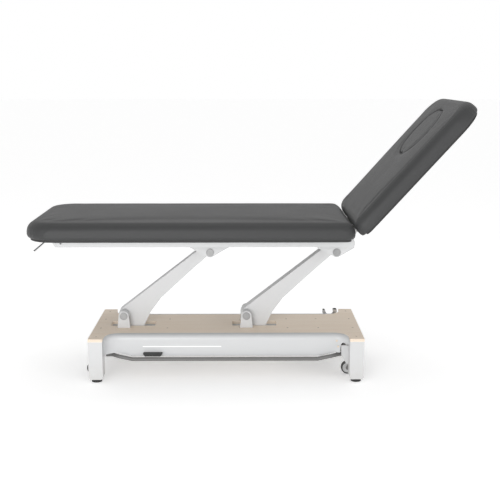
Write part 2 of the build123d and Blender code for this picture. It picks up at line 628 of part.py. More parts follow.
def main():
    """Build every sub-part and write it."""
    os.makedirs("parts", exist_ok=True)

    write("chassis_frame", chassis_frame())
    write("foot_end_frame", end_frame(-1))
    inlet_hole = block(END_OUTER - 5, END_OUTER + 1, -14, 14, INLET_Z - 10, INLET_Z + 10)
    write("head_end_frame", end_frame(1) - inlet_hole)
    write("deck_board", deck_board())
    write("side_cover_near", side_cover(END_INNER - BODY_GAP, 0))
    pedal_hole = round_y(PEDAL_X, PEDAL_Z, 100, 200, 10)
    write("side_cover_far", mirror(side_cover(COVER_END_X, COVER_WALL), about=Plane.XZ) - pedal_hole)
    screws = [deck_screw(x, y) for x, y in DECK_SCREWS] + [cover_screw(x, z) for x, z in COVER_SCREWS]
    write("deck_and_cover_screws", screws)
    write("foot_switches", both_sides(switch_housing()))

    ears = []
    pins = []
    caps = []
    for pivot in LOWER_PIVOTS:
        for y0, y1, cap_y in ((-70, -60, -70), (60, 70, 70)):
            ears.append(slab_y(Pos(pivot, 0) * ear(), y0, y1))
            caps.append(pin_cap(pivot, LOWER_Z, cap_y))
        pins.append(round_y(pivot, LOWER_Z, -70, 70, PIN_R))
    write("pivot_ears", ears)
    write("lower_pivot_pins", pins)
    write("lower_pin_caps", caps)

    write("head_arm", arm(HEAD_PIVOT_X, True))
    write("head_arm_bushes", bushes(HEAD_PIVOT_X, RUN_FIT))
    write("actuator_rod_pin", round_y(LEVER_PIN_X, LEVER_PIN_Z, -22, 22, 5))
    write("foot_arm", arm(FOOT_PIVOT_X, False))
    write("foot_arm_bushes", bushes(FOOT_PIVOT_X, BODY_GAP))

    write("actuator_bracket", actuator_bracket())
    write("actuator_gearbox", actuator_gearbox())
    write("actuator_motor", fillet(round_x(-196, -86, 38.5, ROD_Z, 16.5).edges().group_by(Axis.X)[-1], 3))
    write("actuator_tube", actuator_tube())
    write("actuator_rod", actuator_rod())
    write("control_box", fillet(block(290, 420, -48, 48, 128, 168).edges().filter_by(Axis.Z), 5))
    inlet = block(END_OUTER, END_OUTER + 3, -25, 25, INLET_Z - 15, INLET_Z + 15)
    inlet += block(END_OUTER - 20, END_OUTER, -13.5, 13.5, INLET_Z - 9.5, INLET_Z + 9.5)
    inlet -= block(END_OUTER - 16, END_OUTER + 4, -11, 11, INLET_Z - 7, INLET_Z + 7)
    write("power_inlet", inlet)

    write("side_rails", both_sides(side_rail()))
    write("cross_members", cross_members())
    gussets = []
    upper_pins = []
    upper_caps = []
    anchor_hole = round_y(ANCHOR_X, ANCHOR_Z, -150, 150, 6)
    for pivot in UPPER_PIVOTS:
        for y0, y1, cap_y in ((-146, -136, -146), (136, 146, 146)):
            gussets.append(slab_y(gusset(pivot), y0, y1) - anchor_hole)
            upper_caps.append(pin_cap(pivot, UPPER_Z, cap_y))
        upper_pins.append(round_y(pivot, UPPER_Z, -146, 146, PIN_R))
    write("pivot_gussets", gussets)
    write("upper_pivot_pins", upper_pins)
    write("upper_pin_caps", upper_caps)
    write("spring_anchor_rod", round_y(ANCHOR_X, ANCHOR_Z, -146, 146, 6))
    write("hinge_pins", both_sides(round_y(HINGE_X, HINGE_Z, 104, 142, 6)))
    board = extrude(Pos(0, 0, RAIL_TOP) * seat_board_plan(0), amount=BOARD_THICK)
    for x, y in SEAT_SCREWS:
        board -= round_z(x, y, 580, 598, 3)
    write("seat_board", board)
    seat_plan = plan_plate(SEAT_FOOT_X, SEAT_HEAD_X, PAD_WIDTH / 2, 120, 46)
    seat = pad(seat_plan, SEAT_WRAP, seat_board_plan(BODY_GAP))
    for relief in both_sides(block(SEAT_HEAD_X - 10, SEAT_HEAD_X + 4, 127, 141, 586, HINGE_Z + 3)):
        seat -= relief
    write("seat_pad", seat)
    write("seat_screws", [seat_screw(x, y) for x, y in SEAT_SCREWS])
    write("paper_roll_rod", paper_roll_rod())
    write("roll_rod_plug", rail_plug())

    lever_pin = round_y(700, 579, 128, 139, 3)
    write("backrest_frame", [recline(piece) for piece in backrest_frame() + [lever_pin]])
    write("backrest_board", recline(backrest_board()))
    write("backrest_pad", recline(backrest_pad()))
    write("face_plug", recline(face_plug()))
    write("release_lever", [recline(piece) for piece in release_lever()])
    write("gas_cylinder", gas_cylinder())
    write("gas_rod", gas_rod())

    bar = foot_bar()
    write("foot_bar_near", bar)
    write("foot_bar_far", mirror(bar, about=Plane.XZ))
    write("castor_guides", both_sides(castor_guide()))
    write("castor_pedal", castor_pedal())
    for end, x_sign in (("foot", -1), ("head", 1)):
        write(f"castor_bar_{end}", castor_bar(x_sign))
        for side, y_sign in (("near", -1), ("far", 1)):
            x = x_sign * CASTOR_X
            y = y_sign * CASTOR_Y
            write(f"castor_fork_{end}_{side}", castor_fork(x, y))
            write(f"castor_wheel_{end}_{side}", castor_wheel(x, y))
            write(f"leveller_{end}_{side}", leveller(x_sign * (END_INNER + POST / 2), y_sign * LEVELLER_Y))


main()
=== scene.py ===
"""Looks of a height-adjustable medical exam table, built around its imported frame.

Every new piece is placed from the frame's own nodes and joints, in metres, and rides on one body. The three
pads are simulated as cloth over their foam, repeated details are grown by Geometry Nodes, and every surface
has a procedural finish in Object coordinates.
"""

from __future__ import annotations

import json
import logging
import math
from abc import ABC, abstractmethod
from dataclasses import dataclass, field
from enum import Enum
from typing import Callable, Iterable, Mapping, Sequence, Union

import bmesh
import bpy
from mathutils import Matrix, Vector, noise

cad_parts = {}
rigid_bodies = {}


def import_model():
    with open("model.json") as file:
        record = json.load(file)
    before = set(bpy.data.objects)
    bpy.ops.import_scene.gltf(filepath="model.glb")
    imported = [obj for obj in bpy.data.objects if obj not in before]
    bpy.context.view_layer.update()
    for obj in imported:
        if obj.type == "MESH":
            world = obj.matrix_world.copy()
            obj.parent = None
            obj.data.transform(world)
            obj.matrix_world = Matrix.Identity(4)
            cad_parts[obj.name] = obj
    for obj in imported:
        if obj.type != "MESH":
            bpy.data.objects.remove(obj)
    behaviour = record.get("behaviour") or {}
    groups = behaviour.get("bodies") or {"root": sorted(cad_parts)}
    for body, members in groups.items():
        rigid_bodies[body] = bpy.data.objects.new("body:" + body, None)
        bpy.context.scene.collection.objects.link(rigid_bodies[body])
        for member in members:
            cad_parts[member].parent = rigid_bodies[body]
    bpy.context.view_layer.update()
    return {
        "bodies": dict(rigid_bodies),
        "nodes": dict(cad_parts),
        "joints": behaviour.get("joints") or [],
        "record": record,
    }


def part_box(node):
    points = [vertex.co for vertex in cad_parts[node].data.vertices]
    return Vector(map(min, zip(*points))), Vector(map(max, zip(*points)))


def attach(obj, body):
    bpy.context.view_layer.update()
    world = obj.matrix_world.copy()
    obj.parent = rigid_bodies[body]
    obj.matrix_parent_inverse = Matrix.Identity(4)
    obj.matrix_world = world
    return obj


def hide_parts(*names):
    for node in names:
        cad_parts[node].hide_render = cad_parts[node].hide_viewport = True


LOG = logging.getLogger("exam_table")
Colour = tuple[float, float, float, float]
Feed = Union["Wire", float, Sequence[float]]


# ---------------------------------------------------------------- shader writing
class Wire:
    """A shader socket that takes Python arithmetic; each operator adds one Math node."""

    def __init__(self, graph: "Graph", socket: bpy.types.NodeSocket) -> None:
        """Keep the graph and the output socket."""
        self.graph = graph
        self.socket = socket

    def __add__(self, other: Feed) -> "Wire":
        """The sum."""
        return self.graph.math("ADD", self, other)

    def __radd__(self, other: Feed) -> "Wire":
        """The sum, from the right."""
        return self.graph.math("ADD", other, self)

    def __sub__(self, other: Feed) -> "Wire":
        """The difference."""
        return self.graph.math("SUBTRACT", self, other)

    def __rsub__(self, other: Feed) -> "Wire":
        """The difference, from the right."""
        return self.graph.math("SUBTRACT", other, self)

    def __mul__(self, other: Feed) -> "Wire":
        """The product."""
        return self.graph.math("MULTIPLY", self, other)

    def __rmul__(self, other: Feed) -> "Wire":
        """The product, from the right."""
        return self.graph.math("MULTIPLY", other, self)

    def __truediv__(self, other: Feed) -> "Wire":
        """The quotient."""
        return self.graph.math("DIVIDE", self, other)

    def __gt__(self, other: Feed) -> "Wire":
        """1 where this is the greater, else 0."""
        return self.graph.math("GREATER_THAN", self, other)

    def __abs__(self) -> "Wire":
        """The size without its sign."""
        return self.graph.math("ABSOLUTE", self)


class Graph:
    """A material's node tree under construction."""

    def __init__(self, name: str) -> None:
        """Start an empty tree.

        Args:
            name: the material's name.
        """
        self.material = bpy.data.materials.new(name)
        self.material.use_nodes = True
        self.tree = self.material.node_tree
        self.tree.nodes.clear()

    def add(self, kind: str, sockets: Mapping[int | str, Feed] | None = None, output: int | str = 0,
            settings: Mapping[str, object] | None = None) -> Wire:
        """Add any node.

        Args:
            kind: the node's type.
            sockets: the values or wires of its inputs, by name or place.
            output: which output to return.
            settings: its own settings.

        Returns:
            The wanted output.
        """
        node = self.tree.nodes.new(kind)
        for key, value in (settings or {}).items():
            setattr(node, key, value)
        for key, value in (sockets or {}).items():
            if isinstance(value, Wire):
                self.tree.links.new(value.socket, node.inputs[key])
            else:
                node.inputs[key].default_value = value
        return Wire(self, node.outputs[output])

    def math(self, operation: str, left: Feed, right: Feed | None = None) -> Wire:
        """A Math node of one or two values."""
        sockets: dict[int | str, Feed] = {0: left}
        if right is not None:
            sockets[1] = right
        return self.add("ShaderNodeMath", sockets, settings={"operation": operation})

    def place(self, scale: Sequence[float] = (1, 1, 1), centre: Sequence[float] = (0, 0, 0)) -> Wire:
        """The piece's own coordinates, moved to a centre and then scaled.

        Args:
            scale: how many pattern units there are in a metre, on each axis.
            centre: the point that becomes the pattern's zero.

        Returns:
            The coordinates.
        """
        coords = self.add("ShaderNodeTexCoord", output="Object")
        shift = [-c * s for c, s in zip(centre, scale)]
        return self.add("ShaderNodeMapping", {"Vector": coords, "Scale": tuple(scale), "Location": shift})

    def noise(self, vector: Wire, scale: float, detail: float = 3.0, rough: float = 0.5) -> Wire:
        """A noise of about 0 to 1."""
        return self.add("ShaderNodeTexNoise", {"Vector": vector, "Scale": scale, "Detail": detail,
                                               "Roughness": rough})

    def fade(self, value: Wire, low: float, high: float) -> Wire:
        """0 at low and 1 at high, held outside them."""
        return self.add("ShaderNodeMapRange", {"Value": value, "From Min": low, "From Max": high},
                        settings={"clamp": True})

    def blend(self, mask: Wire, plain: Feed, other: Feed) -> Wire:
        """One colour where the mask is 0 and the other where it is 1."""
        return self.add("ShaderNodeMix", {0: mask, 6: plain, 7: other}, output=2,
                        settings={"data_type": "RGBA"})

    def part(self, vector: Wire, axis: str) -> Wire:
        """One axis of a vector."""
        return self.add("ShaderNodeSeparateXYZ", {0: vector}, output=axis)

    def surface(self, colour: Feed, roughness: Feed, height: Wire | None = None, depth: float = 0.0002,
                metallic: float = 0.0, **fixed: float) -> bpy.types.Material:
        """Close the tree with a Principled shader.

        Args:
            colour: base colour.
            roughness: roughness.
            height: what the bump follows, if anything.
            depth: how deep the bump is, in metres.
            metallic: 1 for bare metal.
            fixed: other constant sockets, with spaces written as underscores.

        Returns:
            The finished material.
        """
        sockets: dict[int | str, Feed] = {"Base Color": colour, "Roughness": roughness, "Metallic": metallic}
        for key, value in fixed.items():
            sockets[key.replace("_", " ")] = value
        if height is not None:
            sockets["Normal"] = self.add("ShaderNodeBump", {"Height": height, "Strength": 0.7,
                                                            "Distance": depth})
        shader = self.add("ShaderNodeBsdfPrincipled", sockets)
        self.add_output(shader)
        return self.material

    def add_output(self, shader: Wire) -> None:
        """Join the shader to the material's output."""
        output = self.tree.nodes.new("ShaderNodeOutputMaterial")
        self.tree.links.new(shader.socket, output.inputs["Surface"])


def grey(value: float, warm: float = 0.0) -> Colour:
    """A grey, a little warmer or cooler than neutral."""
    return (value * (1 + warm), value, value * (1 - warm), 1.0)


# ---------------------------------------------------------------- finishes
@dataclass(frozen=True)
class Finish(ABC):
    """One finish, which makes one material."""

    name: str

    @abstractmethod
    def material(self) -> bpy.types.Material:
        """Make the material."""


@dataclass(frozen=True)
class CoatedCloth(Finish):
    """Upholstery cloth with a grained, slightly shiny coat."""

    colour: Colour
    grain: float = 620.0

    def material(self) -> bpy.types.Material:
        """Pebble grain with painted shade in its creases, fine pores, soft patches of wear and a low sheen.
        """
        graph = Graph(self.name)
        coords = graph.place()
        cells = graph.add("ShaderNodeTexVoronoi", {"Vector": coords, "Scale": self.grain},
                          settings={"feature": "DISTANCE_TO_EDGE"})
        creases = 1 - graph.fade(cells, 0.0, 0.32)
        pores = graph.noise(coords, self.grain * 3, 2.0)
        patches = graph.noise(coords, 5.0, 4.0, 0.6)
        worn = graph.fade(patches, 0.35, 0.75)
        light = tuple(c * 1.16 for c in self.colour[:3]) + (1.0,)
        # dark is painted shade: it is mixed in along the grain's creases, where the bump's valleys lie.
        dark = tuple(c * 0.72 for c in self.colour[:3]) + (1.0,)
        colour = graph.blend(creases * 0.5, graph.blend(worn, self.colour, light), dark)
        rough = 0.42 + creases * 0.14 + worn * 0.07
        height = pores * 0.22 - creases * 0.8 + patches * 0.4
        return graph.surface(colour, rough, height, 0.00022, Specular_IOR_Level=0.45, Sheen_Weight=0.06,
                             Sheen_Roughness=0.45)


@dataclass(frozen=True)
class PowderCoat(Finish):
    """Baked powder coat with orange peel, faint scuffs and floor dust low down."""

    colour: Colour
    rough: float = 0.34
    peel: float = 240.0
    dust: float = 0.35

    def material(self) -> bpy.types.Material:
        """Orange peel in the bump, handling marks in the roughness."""
        graph = Graph(self.name)
        coords = graph.place()
        peel = graph.noise(coords, self.peel, 2.0)
        scuffs = graph.fade(graph.noise(graph.place((9, 9, 60)), 3.0, 6.0, 0.7), 0.56, 0.72)
        low = 1 - graph.fade(graph.part(coords, "Z"), 0.02, 0.11)
        dusty = low * graph.noise(coords, 40.0, 5.0, 0.7) * self.dust
        soft = graph.noise(coords, 4.0, 2.0)
        shade = tuple(c * 0.86 for c in self.colour[:3]) + (1.0,)
        dust = (0.42, 0.39, 0.34, 1.0)
        colour = graph.blend(dusty, graph.blend(scuffs * 0.22 + soft * 0.14, self.colour, shade), dust)
        rough = self.rough + scuffs * 0.16 + dusty * 0.5 + peel * 0.05
        return graph.surface(colour, rough, peel, 0.00018, Coat_Weight=0.12, Coat_Roughness=0.25)


@dataclass(frozen=True)
class Moulded(Finish):
    """Moulded plastic or rubber with a fine spark-eroded texture."""

    colour: Colour
    rough: float = 0.5
    texture: float = 900.0
    depth: float = 0.00015

    def material(self) -> bpy.types.Material:
        """A fine even grain with slow changes of tone."""
        graph = Graph(self.name)
        coords = graph.place()
        grain = graph.noise(coords, self.texture, 2.0, 0.6)
        slow = graph.noise(coords, 14.0, 4.0, 0.6)
        rubbed = graph.fade(graph.noise(coords, 46.0, 5.0, 0.7), 0.58, 0.78)
        light = tuple(min(1.0, c * 1.3 + 0.01) for c in self.colour[:3]) + (1.0,)
        shade = tuple(c * 0.88 for c in self.colour[:3]) + (1.0,)
        colour = graph.blend(rubbed * 0.3, graph.blend(slow, shade, self.colour), light)
        rough = self.rough + grain * 0.1 - rubbed * 0.1
        return graph.surface(colour, rough, grain, self.depth)


@dataclass(frozen=True)
class BeechPly(Finish):
    """Lacquered beech plywood: long grain and flecks on the face, plies on the edge."""

    pale: Colour
    deep: Colour
    ply: float = 0.0018
    base_z: float = 0.172

    def material(self) -> bpy.types.Material:
        """Grain along the table on the faces and ply lines where the surface stands up."""
        graph = Graph(self.name)
        warp = graph.noise(graph.place((1.2, 9, 9)), 1.0, 3.0)
        bands = graph.noise(graph.place((2.2, 34, 34), (0, 0.03, 0)), 1.0, 5.0, 0.62)
        fibres = graph.noise(graph.place((22, 620, 620)), 1.0, 3.0, 0.6)
        flecks = graph.fade(graph.noise(graph.place((70, 900, 900)), 1.0, 2.0, 0.5), 0.64, 0.74)
        figure = graph.fade(bands * 0.75 + warp * 0.35, 0.32, 0.78)
        face = graph.blend(figure * 0.85, self.pale, self.deep)
        fleck = tuple(c * 0.62 for c in self.deep[:3]) + (1.0,)
        face = graph.blend(fibres * 0.22, face, self.deep)
        face = graph.blend(flecks * 0.4, face, fleck)
        upright = graph.part(graph.add("ShaderNodeTexCoord", output="Normal"), "Z")
        edge = 1 - graph.fade(abs(upright), 0.35, 0.6)
        layer = (graph.part(graph.place(), "Z") - self.base_z) / (self.ply * 2)
        odd = graph.math("FRACT", layer) > 0.5
        end_grain = tuple(c * 0.68 for c in self.deep[:3]) + (1.0,)
        plies = graph.blend(odd, graph.blend(fibres * 0.5, self.pale, self.deep), end_grain)
        colour = graph.blend(edge, face, plies)
        rough = 0.48 + fibres * 0.14 + flecks * 0.1 + edge * 0.12
        height = fibres * 0.6 - flecks * 0.5 - odd * edge * 0.4
        return graph.surface(colour, rough, height, 0.00012, Coat_Weight=0.08, Coat_Roughness=0.4)


@dataclass(frozen=True)
class StainedPly(Finish):
    """Plywood stained dark, with its plies just showing on the edge."""

    colour: Colour
    ply: float = 0.0016

    def material(self) -> bpy.types.Material:
        """Closed grain along the board under a matt stain."""
        graph = Graph(self.name)
        fibres = graph.noise(graph.place((12, 300, 300)), 1.0, 4.0, 0.65)
        layer = graph.part(graph.place(), "Z") / (self.ply * 2)
        odd = graph.math("FRACT", layer) > 0.5
        light = tuple(c * 2.1 + 0.004 for c in self.colour[:3]) + (1.0,)
        colour = graph.blend(fibres * 0.55 + odd * 0.15, self.colour, light)
        return graph.surface(colour, 0.55 + fibres * 0.2, fibres, 0.00025)


@dataclass(frozen=True)
class BareMetal(Finish):
    """Plated or turned metal with fine drawn lines."""

    colour: Colour
    rough: float = 0.3
    lines: Sequence[float] = (300, 30, 300)
    tarnish: float = 0.25

    def material(self) -> bpy.types.Material:
        """Drawn lines in roughness and bump, and a cloudy film."""
        graph = Graph(self.name)
        lines = graph.noise(graph.place(self.lines), 4.0, 2.0)
        clouds = graph.fade(graph.noise(graph.place(), 30.0, 5.0, 0.65), 0.4, 0.75)
        dull = tuple(c * 0.72 for c in self.colour[:3]) + (1.0,)
        colour = graph.blend(clouds * self.tarnish, self.colour, dull)
        rough = self.rough + lines * 0.12 + clouds * self.tarnish * 0.3
        return graph.surface(colour, rough, lines, 0.00006, metallic=1.0)


@dataclass(frozen=True)
class CastorTyre(Finish):
    """A grey tyre round a pale moulded hub, told apart by the distance from the axle."""

    axle: tuple[float, float, float]
    hub_radius: float
    tyre: Colour
    hub: Colour

    def material(self) -> bpy.types.Material:
        """Dusty rubber outside the hub's radius, smooth nylon inside it."""
        graph = Graph(self.name)
        flat = graph.place((1, 0, 1), self.axle)
        radius = graph.add("ShaderNodeVectorMath", {0: flat}, output="Value",
                           settings={"operation": "LENGTH"})
        outer = graph.fade(radius, self.hub_radius - 0.0002, self.hub_radius + 0.0002)
        grime = graph.noise(graph.place(), 160.0, 5.0, 0.7)
        dirty = tuple(c * 0.6 for c in self.tyre[:3]) + (1.0,)
        colour = graph.blend(outer, self.hub, graph.blend(grime, self.tyre, dirty))
        rough = 0.32 + outer * 0.3 + grime * 0.08
        return graph.surface(colour, rough, grime, 0.0002)


class Paint(Enum):
    """The table's finishes, under the names of the record's material slots."""

    PAD = CoatedCloth("charcoal_coated_cloth", grey(0.036, -0.02))
    WHITE = PowderCoat("white_powder_coat", grey(0.60, -0.005))
    COVER = PowderCoat("satin_white_cover", grey(0.58, -0.010), rough=0.36, peel=420.0, dust=0.25)
    WOOD = BeechPly("lacquered_beech_ply", (0.93, 0.82, 0.69, 1.0), (0.86, 0.71, 0.56, 1.0))
    BOARD = StainedPly("stained_board", grey(0.018))
    BAR = PowderCoat("grey_bar_coat", grey(0.14, 0.01), rough=0.42, peel=500.0, dust=0.2)
    CAP = BareMetal("cast_cap", grey(0.34, 0.0), rough=0.46, lines=(180, 180, 180), tarnish=0.4)
    BLACK = Moulded("black_moulding", grey(0.014), rough=0.46)
    STEEL = BareMetal("zinc_plate", grey(0.58, 0.015), rough=0.28)
    CHROME = BareMetal("hard_chrome", grey(0.80, 0.0), rough=0.08, tarnish=0.08)
    BRONZE = BareMetal("sintered_bronze", (0.56, 0.36, 0.17, 1.0), rough=0.36)
    MOTOR = PowderCoat("dark_motor_enamel", grey(0.045, -0.03), rough=0.38, peel=380.0, dust=0.1)
    RUBBER = Moulded("foot_rubber", grey(0.03), rough=0.7, texture=500.0)
    STRIPE = Moulded("gloss_white_inlay", grey(0.97), rough=0.2, texture=300.0, depth=0.00003)
    SCREW = Moulded("screw_lacquer", (0.72, 0.60, 0.47, 1.0), rough=0.4, texture=700.0)
    RECESS = Moulded("recess_shadow", grey(0.02), rough=0.6, texture=700.0)


SLOT_PAINT = {
    "pad": Paint.PAD, "white_paint": Paint.WHITE, "cover_white": Paint.COVER, "deck_wood": Paint.WOOD,
    "board_black": Paint.BOARD, "bar_grey": Paint.BAR, "cap_grey": Paint.CAP, "black_plastic": Paint.BLACK,
    "steel": Paint.STEEL, "chrome": Paint.CHROME, "bronze": Paint.BRONZE, "motor_paint": Paint.MOTOR,
    "wheel": Paint.BAR, "foot_rubber": Paint.RUBBER,
}


class PaintShop:
    """Makes each finish once and gives it out."""

    def __init__(self) -> None:
        """Start with nothing mixed."""
        self._mixed: dict[str, bpy.types.Material] = {}

    def get(self, finish: Finish) -> bpy.types.Material:
        """The finish's material, made the first time it is asked for."""
        if finish.name not in self._mixed:
            self._mixed[finish.name] = finish.material()
        return self._mixed[finish.name]


# ---------------------------------------------------------------- the workshop shared by all sub-assemblies
@dataclass
class Workshop:
    """The loaded frame, the finishes and what turns meshes into pieces."""

    frame: Mapping[str, object]
    paints: PaintShop = field(default_factory=PaintShop)

    def corners(self, node: str) -> tuple[Vector, Vector]:
        """The lowest and highest corners of a node of the frame."""
        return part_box(node)

    def joint(self, name: str) -> Mapping[str, object]:
        """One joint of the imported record."""
        return next(j for j in self.frame["joints"] if j["name"] == name)

    def pivot(self, name: str) -> Vector:
        """Where a joint turns."""
        return Vector(self.joint(name)["pos_m"])

    def paint_nodes(self, own: Mapping[str, Finish]) -> None:
        """Give every node of the frame a finish: its slot's, or one of its own.

        Args:
            own: finishes of single nodes, by name.
        """
        for row in self.frame["record"]["subparts"]:
            node = self.frame["nodes"][row["node"]]
            finish = own.get(row["node"], SLOT_PAINT[row["material_slot"]].value)
            node.data.materials.clear()
            node.data.materials.append(self.paints.get(finish))

    def piece(self, name: str, mesh: bpy.types.Mesh, body: str, slot: str, paint: Paint,
              smooth: bool = True) -> bpy.types.Object:
        """Make a finished piece from a mesh that is already in place.

        Args:
            name: the piece's name.
            mesh: its mesh, in the frame's own coordinates.
            body: the body it rides on.
            slot: the record's material slot it belongs to; not used.
            paint: its finish.
            smooth: whether its faces shade smoothly.

        Returns:
            The new object.
        """
        mesh.name = name
        if smooth:
            mesh.shade_smooth()
        else:
            mesh.shade_flat()
        mesh.materials.clear()
        mesh.materials.append(self.paints.get(paint.value))
        piece = bpy.data.objects.new(name, mesh)
        bpy.context.scene.collection.objects.link(piece)
        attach(piece, body)
        LOG.info("%s: %d faces on %s", name, len(mesh.polygons), body)
        return piece


def mesh_of(build: Callable[[bmesh.types.BMesh], None], name: str = "work") -> bpy.types.Mesh:
    """A mesh from one building function, with its doubles merged and its faces turned outwards.

    Args:
        build: adds geometry to the bmesh that it is given.
        name: the mesh's name.

    Returns:
        The mesh.
    """
    work = bmesh.new()
    build(work)
    bmesh.ops.remove_doubles(work, verts=work.verts, dist=1e-6)
    if work.faces:
        bmesh.ops.recalc_face_normals(work, faces=work.faces)
    mesh = bpy.data.meshes.new(name)
    work.to_mesh(mesh)
    work.free()
    return mesh


def path_mesh(points: Iterable[Sequence[float]], closed: bool = False) -> bpy.types.Mesh:
    """Points joined by edges, for something to grow along."""
    points = list(points)

    def build(work: bmesh.types.BMesh) -> None:
        """Add the points and edges."""
        verts = [work.verts.new(p) for p in points]
        for first, second in zip(verts, verts[1:]):
            work.edges.new((first, second))
        if closed:
            work.edges.new((verts[-1], verts[0]))

    return mesh_of(build)


def points_mesh(points: Iterable[Sequence[float]]) -> bpy.types.Mesh:
    """Loose points, for something to grow on."""
    return mesh_of(lambda work: [work.verts.new(p) for p in points] and None)


def applied(source: bpy.types.Object) -> bpy.types.Mesh:
    """The object's mesh with its modifiers in it, and the object removed."""
    graph = bpy.context.evaluated_depsgraph_get()
    mesh = bpy.data.meshes.new_from_object(source.evaluated_get(graph))
    bpy.data.objects.remove(source)
    return mesh


def scratch(mesh: bpy.types.Mesh) -> bpy.types.Object:
    """A working object that doesn't stay."""
    work = bpy.data.objects.new("scratch", mesh)
    bpy.context.scene.collection.objects.link(work)
    return work


# ---------------------------------------------------------------- Geometry Nodes
class Grower(ABC):
    """A Geometry Nodes tree with named sizes, which grows details on a path or on points."""

    name = "grower"
    sizes: Mapping[str, float] = {}

    def __init__(self) -> None:
        """Build the tree: the sizes and the material are its inputs."""
        self.tree = bpy.data.node_groups.new(self.name, "GeometryNodeTree")
        face = self.tree.interface
        face.new_socket(name="Geometry", in_out="INPUT", socket_type="NodeSocketGeometry")
        for size, start in self.sizes.items():
            face.new_socket(name=size, in_out="INPUT", socket_type="NodeSocketFloat").default_value = start
        face.new_socket(name="Material", in_out="INPUT", socket_type="NodeSocketMaterial")
        face.new_socket(name="Geometry", in_out="OUTPUT", socket_type="NodeSocketGeometry")
        self.source = self.tree.nodes.new("NodeGroupInput")
        grown = self.grow_instances()
        real = self.add("GeometryNodeRealizeInstances", {0: grown})
        dressed = self.add("GeometryNodeSetMaterial", {0: real, "Material": self.source.outputs["Material"]})
        output = self.tree.nodes.new("NodeGroupOutput")
        self.tree.links.new(dressed, output.inputs[0])

    def add(self, kind: str, sockets: Mapping[int | str, object] | None = None, output: int | str = 0,
            settings: Mapping[str, object] | None = None) -> bpy.types.NodeSocket:
        """Add any node and return one of its outputs.

        Args:
            kind: the node's type.
            sockets: links or values of its inputs, by name or place.
            output: which output to return.
            settings: its own settings.

        Returns:
            The wanted output socket.
        """
        node = self.tree.nodes.new(kind)
        for key, value in (settings or {}).items():
            setattr(node, key, value)
        for key, value in (sockets or {}).items():
            if isinstance(value, bpy.types.NodeSocket):
                self.tree.links.new(value, node.inputs[key])
            else:
                node.inputs[key].default_value = value
        return node.outputs[output]

    def size(self, name: str) -> bpy.types.NodeSocket:
        """One of the tree's named sizes."""
        return self.source.outputs[name]

    def vector(self, x: object, y: object, z: object) -> bpy.types.NodeSocket:
        """A vector of three values or sockets."""
        return self.add("ShaderNodeCombineXYZ", {0: x, 1: y, 2: z})

    def along_path(self) -> tuple[bpy.types.NodeSocket, bpy.types.NodeSocket]:
        """Evenly spaced points on the path, and the way it runs at each."""
        curve = self.add("GeometryNodeMeshToCurve", {0: self.source.outputs["Geometry"]})
        node = self.tree.nodes.new("GeometryNodeCurveToPoints")
        node.mode = "LENGTH"
        self.tree.links.new(curve, node.inputs[0])
        self.tree.links.new(self.size("Spacing"), node.inputs["Length"])
        return node.outputs["Points"], node.outputs["Tangent"]

    def turned(self, axis: str, direction: bpy.types.NodeSocket) -> bpy.types.NodeSocket:
        """A rotation that lays one axis along a direction."""
        return self.add("FunctionNodeAlignRotationToVector", {"Vector": direction}, settings={"axis": axis})

    def instances(self, points: bpy.types.NodeSocket, shape: bpy.types.NodeSocket,
                  rotation: bpy.types.NodeSocket | None = None,
                  scale: bpy.types.NodeSocket | None = None) -> bpy.types.NodeSocket:
        """The shape on every point."""
        sockets: dict[int | str, object] = {"Points": points, "Instance": shape}
        if rotation is not None:
            sockets["Rotation"] = rotation
        if scale is not None:
            sockets["Scale"] = scale
        return self.add("GeometryNodeInstanceOnPoints", sockets)

    @abstractmethod
    def grow_instances(self) -> bpy.types.NodeSocket:
        """Lay out the tree's own part and return its instances."""

    def grow(self, host: bpy.types.Mesh, material: bpy.types.Material, **sizes: float) -> bpy.types.Mesh:
        """Grow on a path or points and return the plain mesh.

        Args:
            host: the path's or points' mesh.
            material: the finish.
            sizes: the tree's sizes, with spaces written as underscores.

        Returns:
            The grown mesh.
        """
        work = scratch(host)
        modifier = work.modifiers.new("grow", "NODES")
        modifier.node_group = self.tree
        wanted = {key.replace("_", " "): value for key, value in sizes.items()}
        for item in self.tree.interface.items_tree:
            if item.in_out == "INPUT" and item.name in wanted:
                modifier[item.identifier] = wanted[item.name]
            if item.in_out == "INPUT" and item.name == "Material":
                modifier[item.identifier] = material
        return applied(work)


class WeldBead(Grower):
    """A row of overlapping, slightly uneven ripples."""

    name = "weld_bead"
    sizes = {"Spacing": 0.0022, "Radius": 0.0026}

    def grow_instances(self) -> bpy.types.NodeSocket:
        """Small spheres along the path, each a little larger or smaller."""
        points, _ = self.along_path()
        ripple = self.add("GeometryNodeMeshUVSphere", {"Segments": 10, "Rings": 6,
                                                       "Radius": self.size("Radius")})
        uneven = self.add("FunctionNodeRandomValue", {2: 0.85, 3: 1.12, "Seed": 7}, output=1,
                          settings={"data_type": "FLOAT"})
        return self.instances(points, ripple, scale=self.vector(uneven, uneven, uneven))


class BlockRow(Grower):
    """Small bars along a path, such as staples, ribs and contact blades."""

    name = "block_row"
    sizes = {"Spacing": 0.03, "Along": 0.01, "Across": 0.001, "High": 0.001}

    def grow_instances(self) -> bpy.types.NodeSocket:
        """A bar at each point, its length turned with the path."""
        points, tangent = self.along_path()
        bar = self.add("GeometryNodeMeshCube", {
            "Size": self.vector(self.size("Along"), self.size("Across"), self.size("High"))})
        return self.instances(points, bar, self.turned("X", tangent))


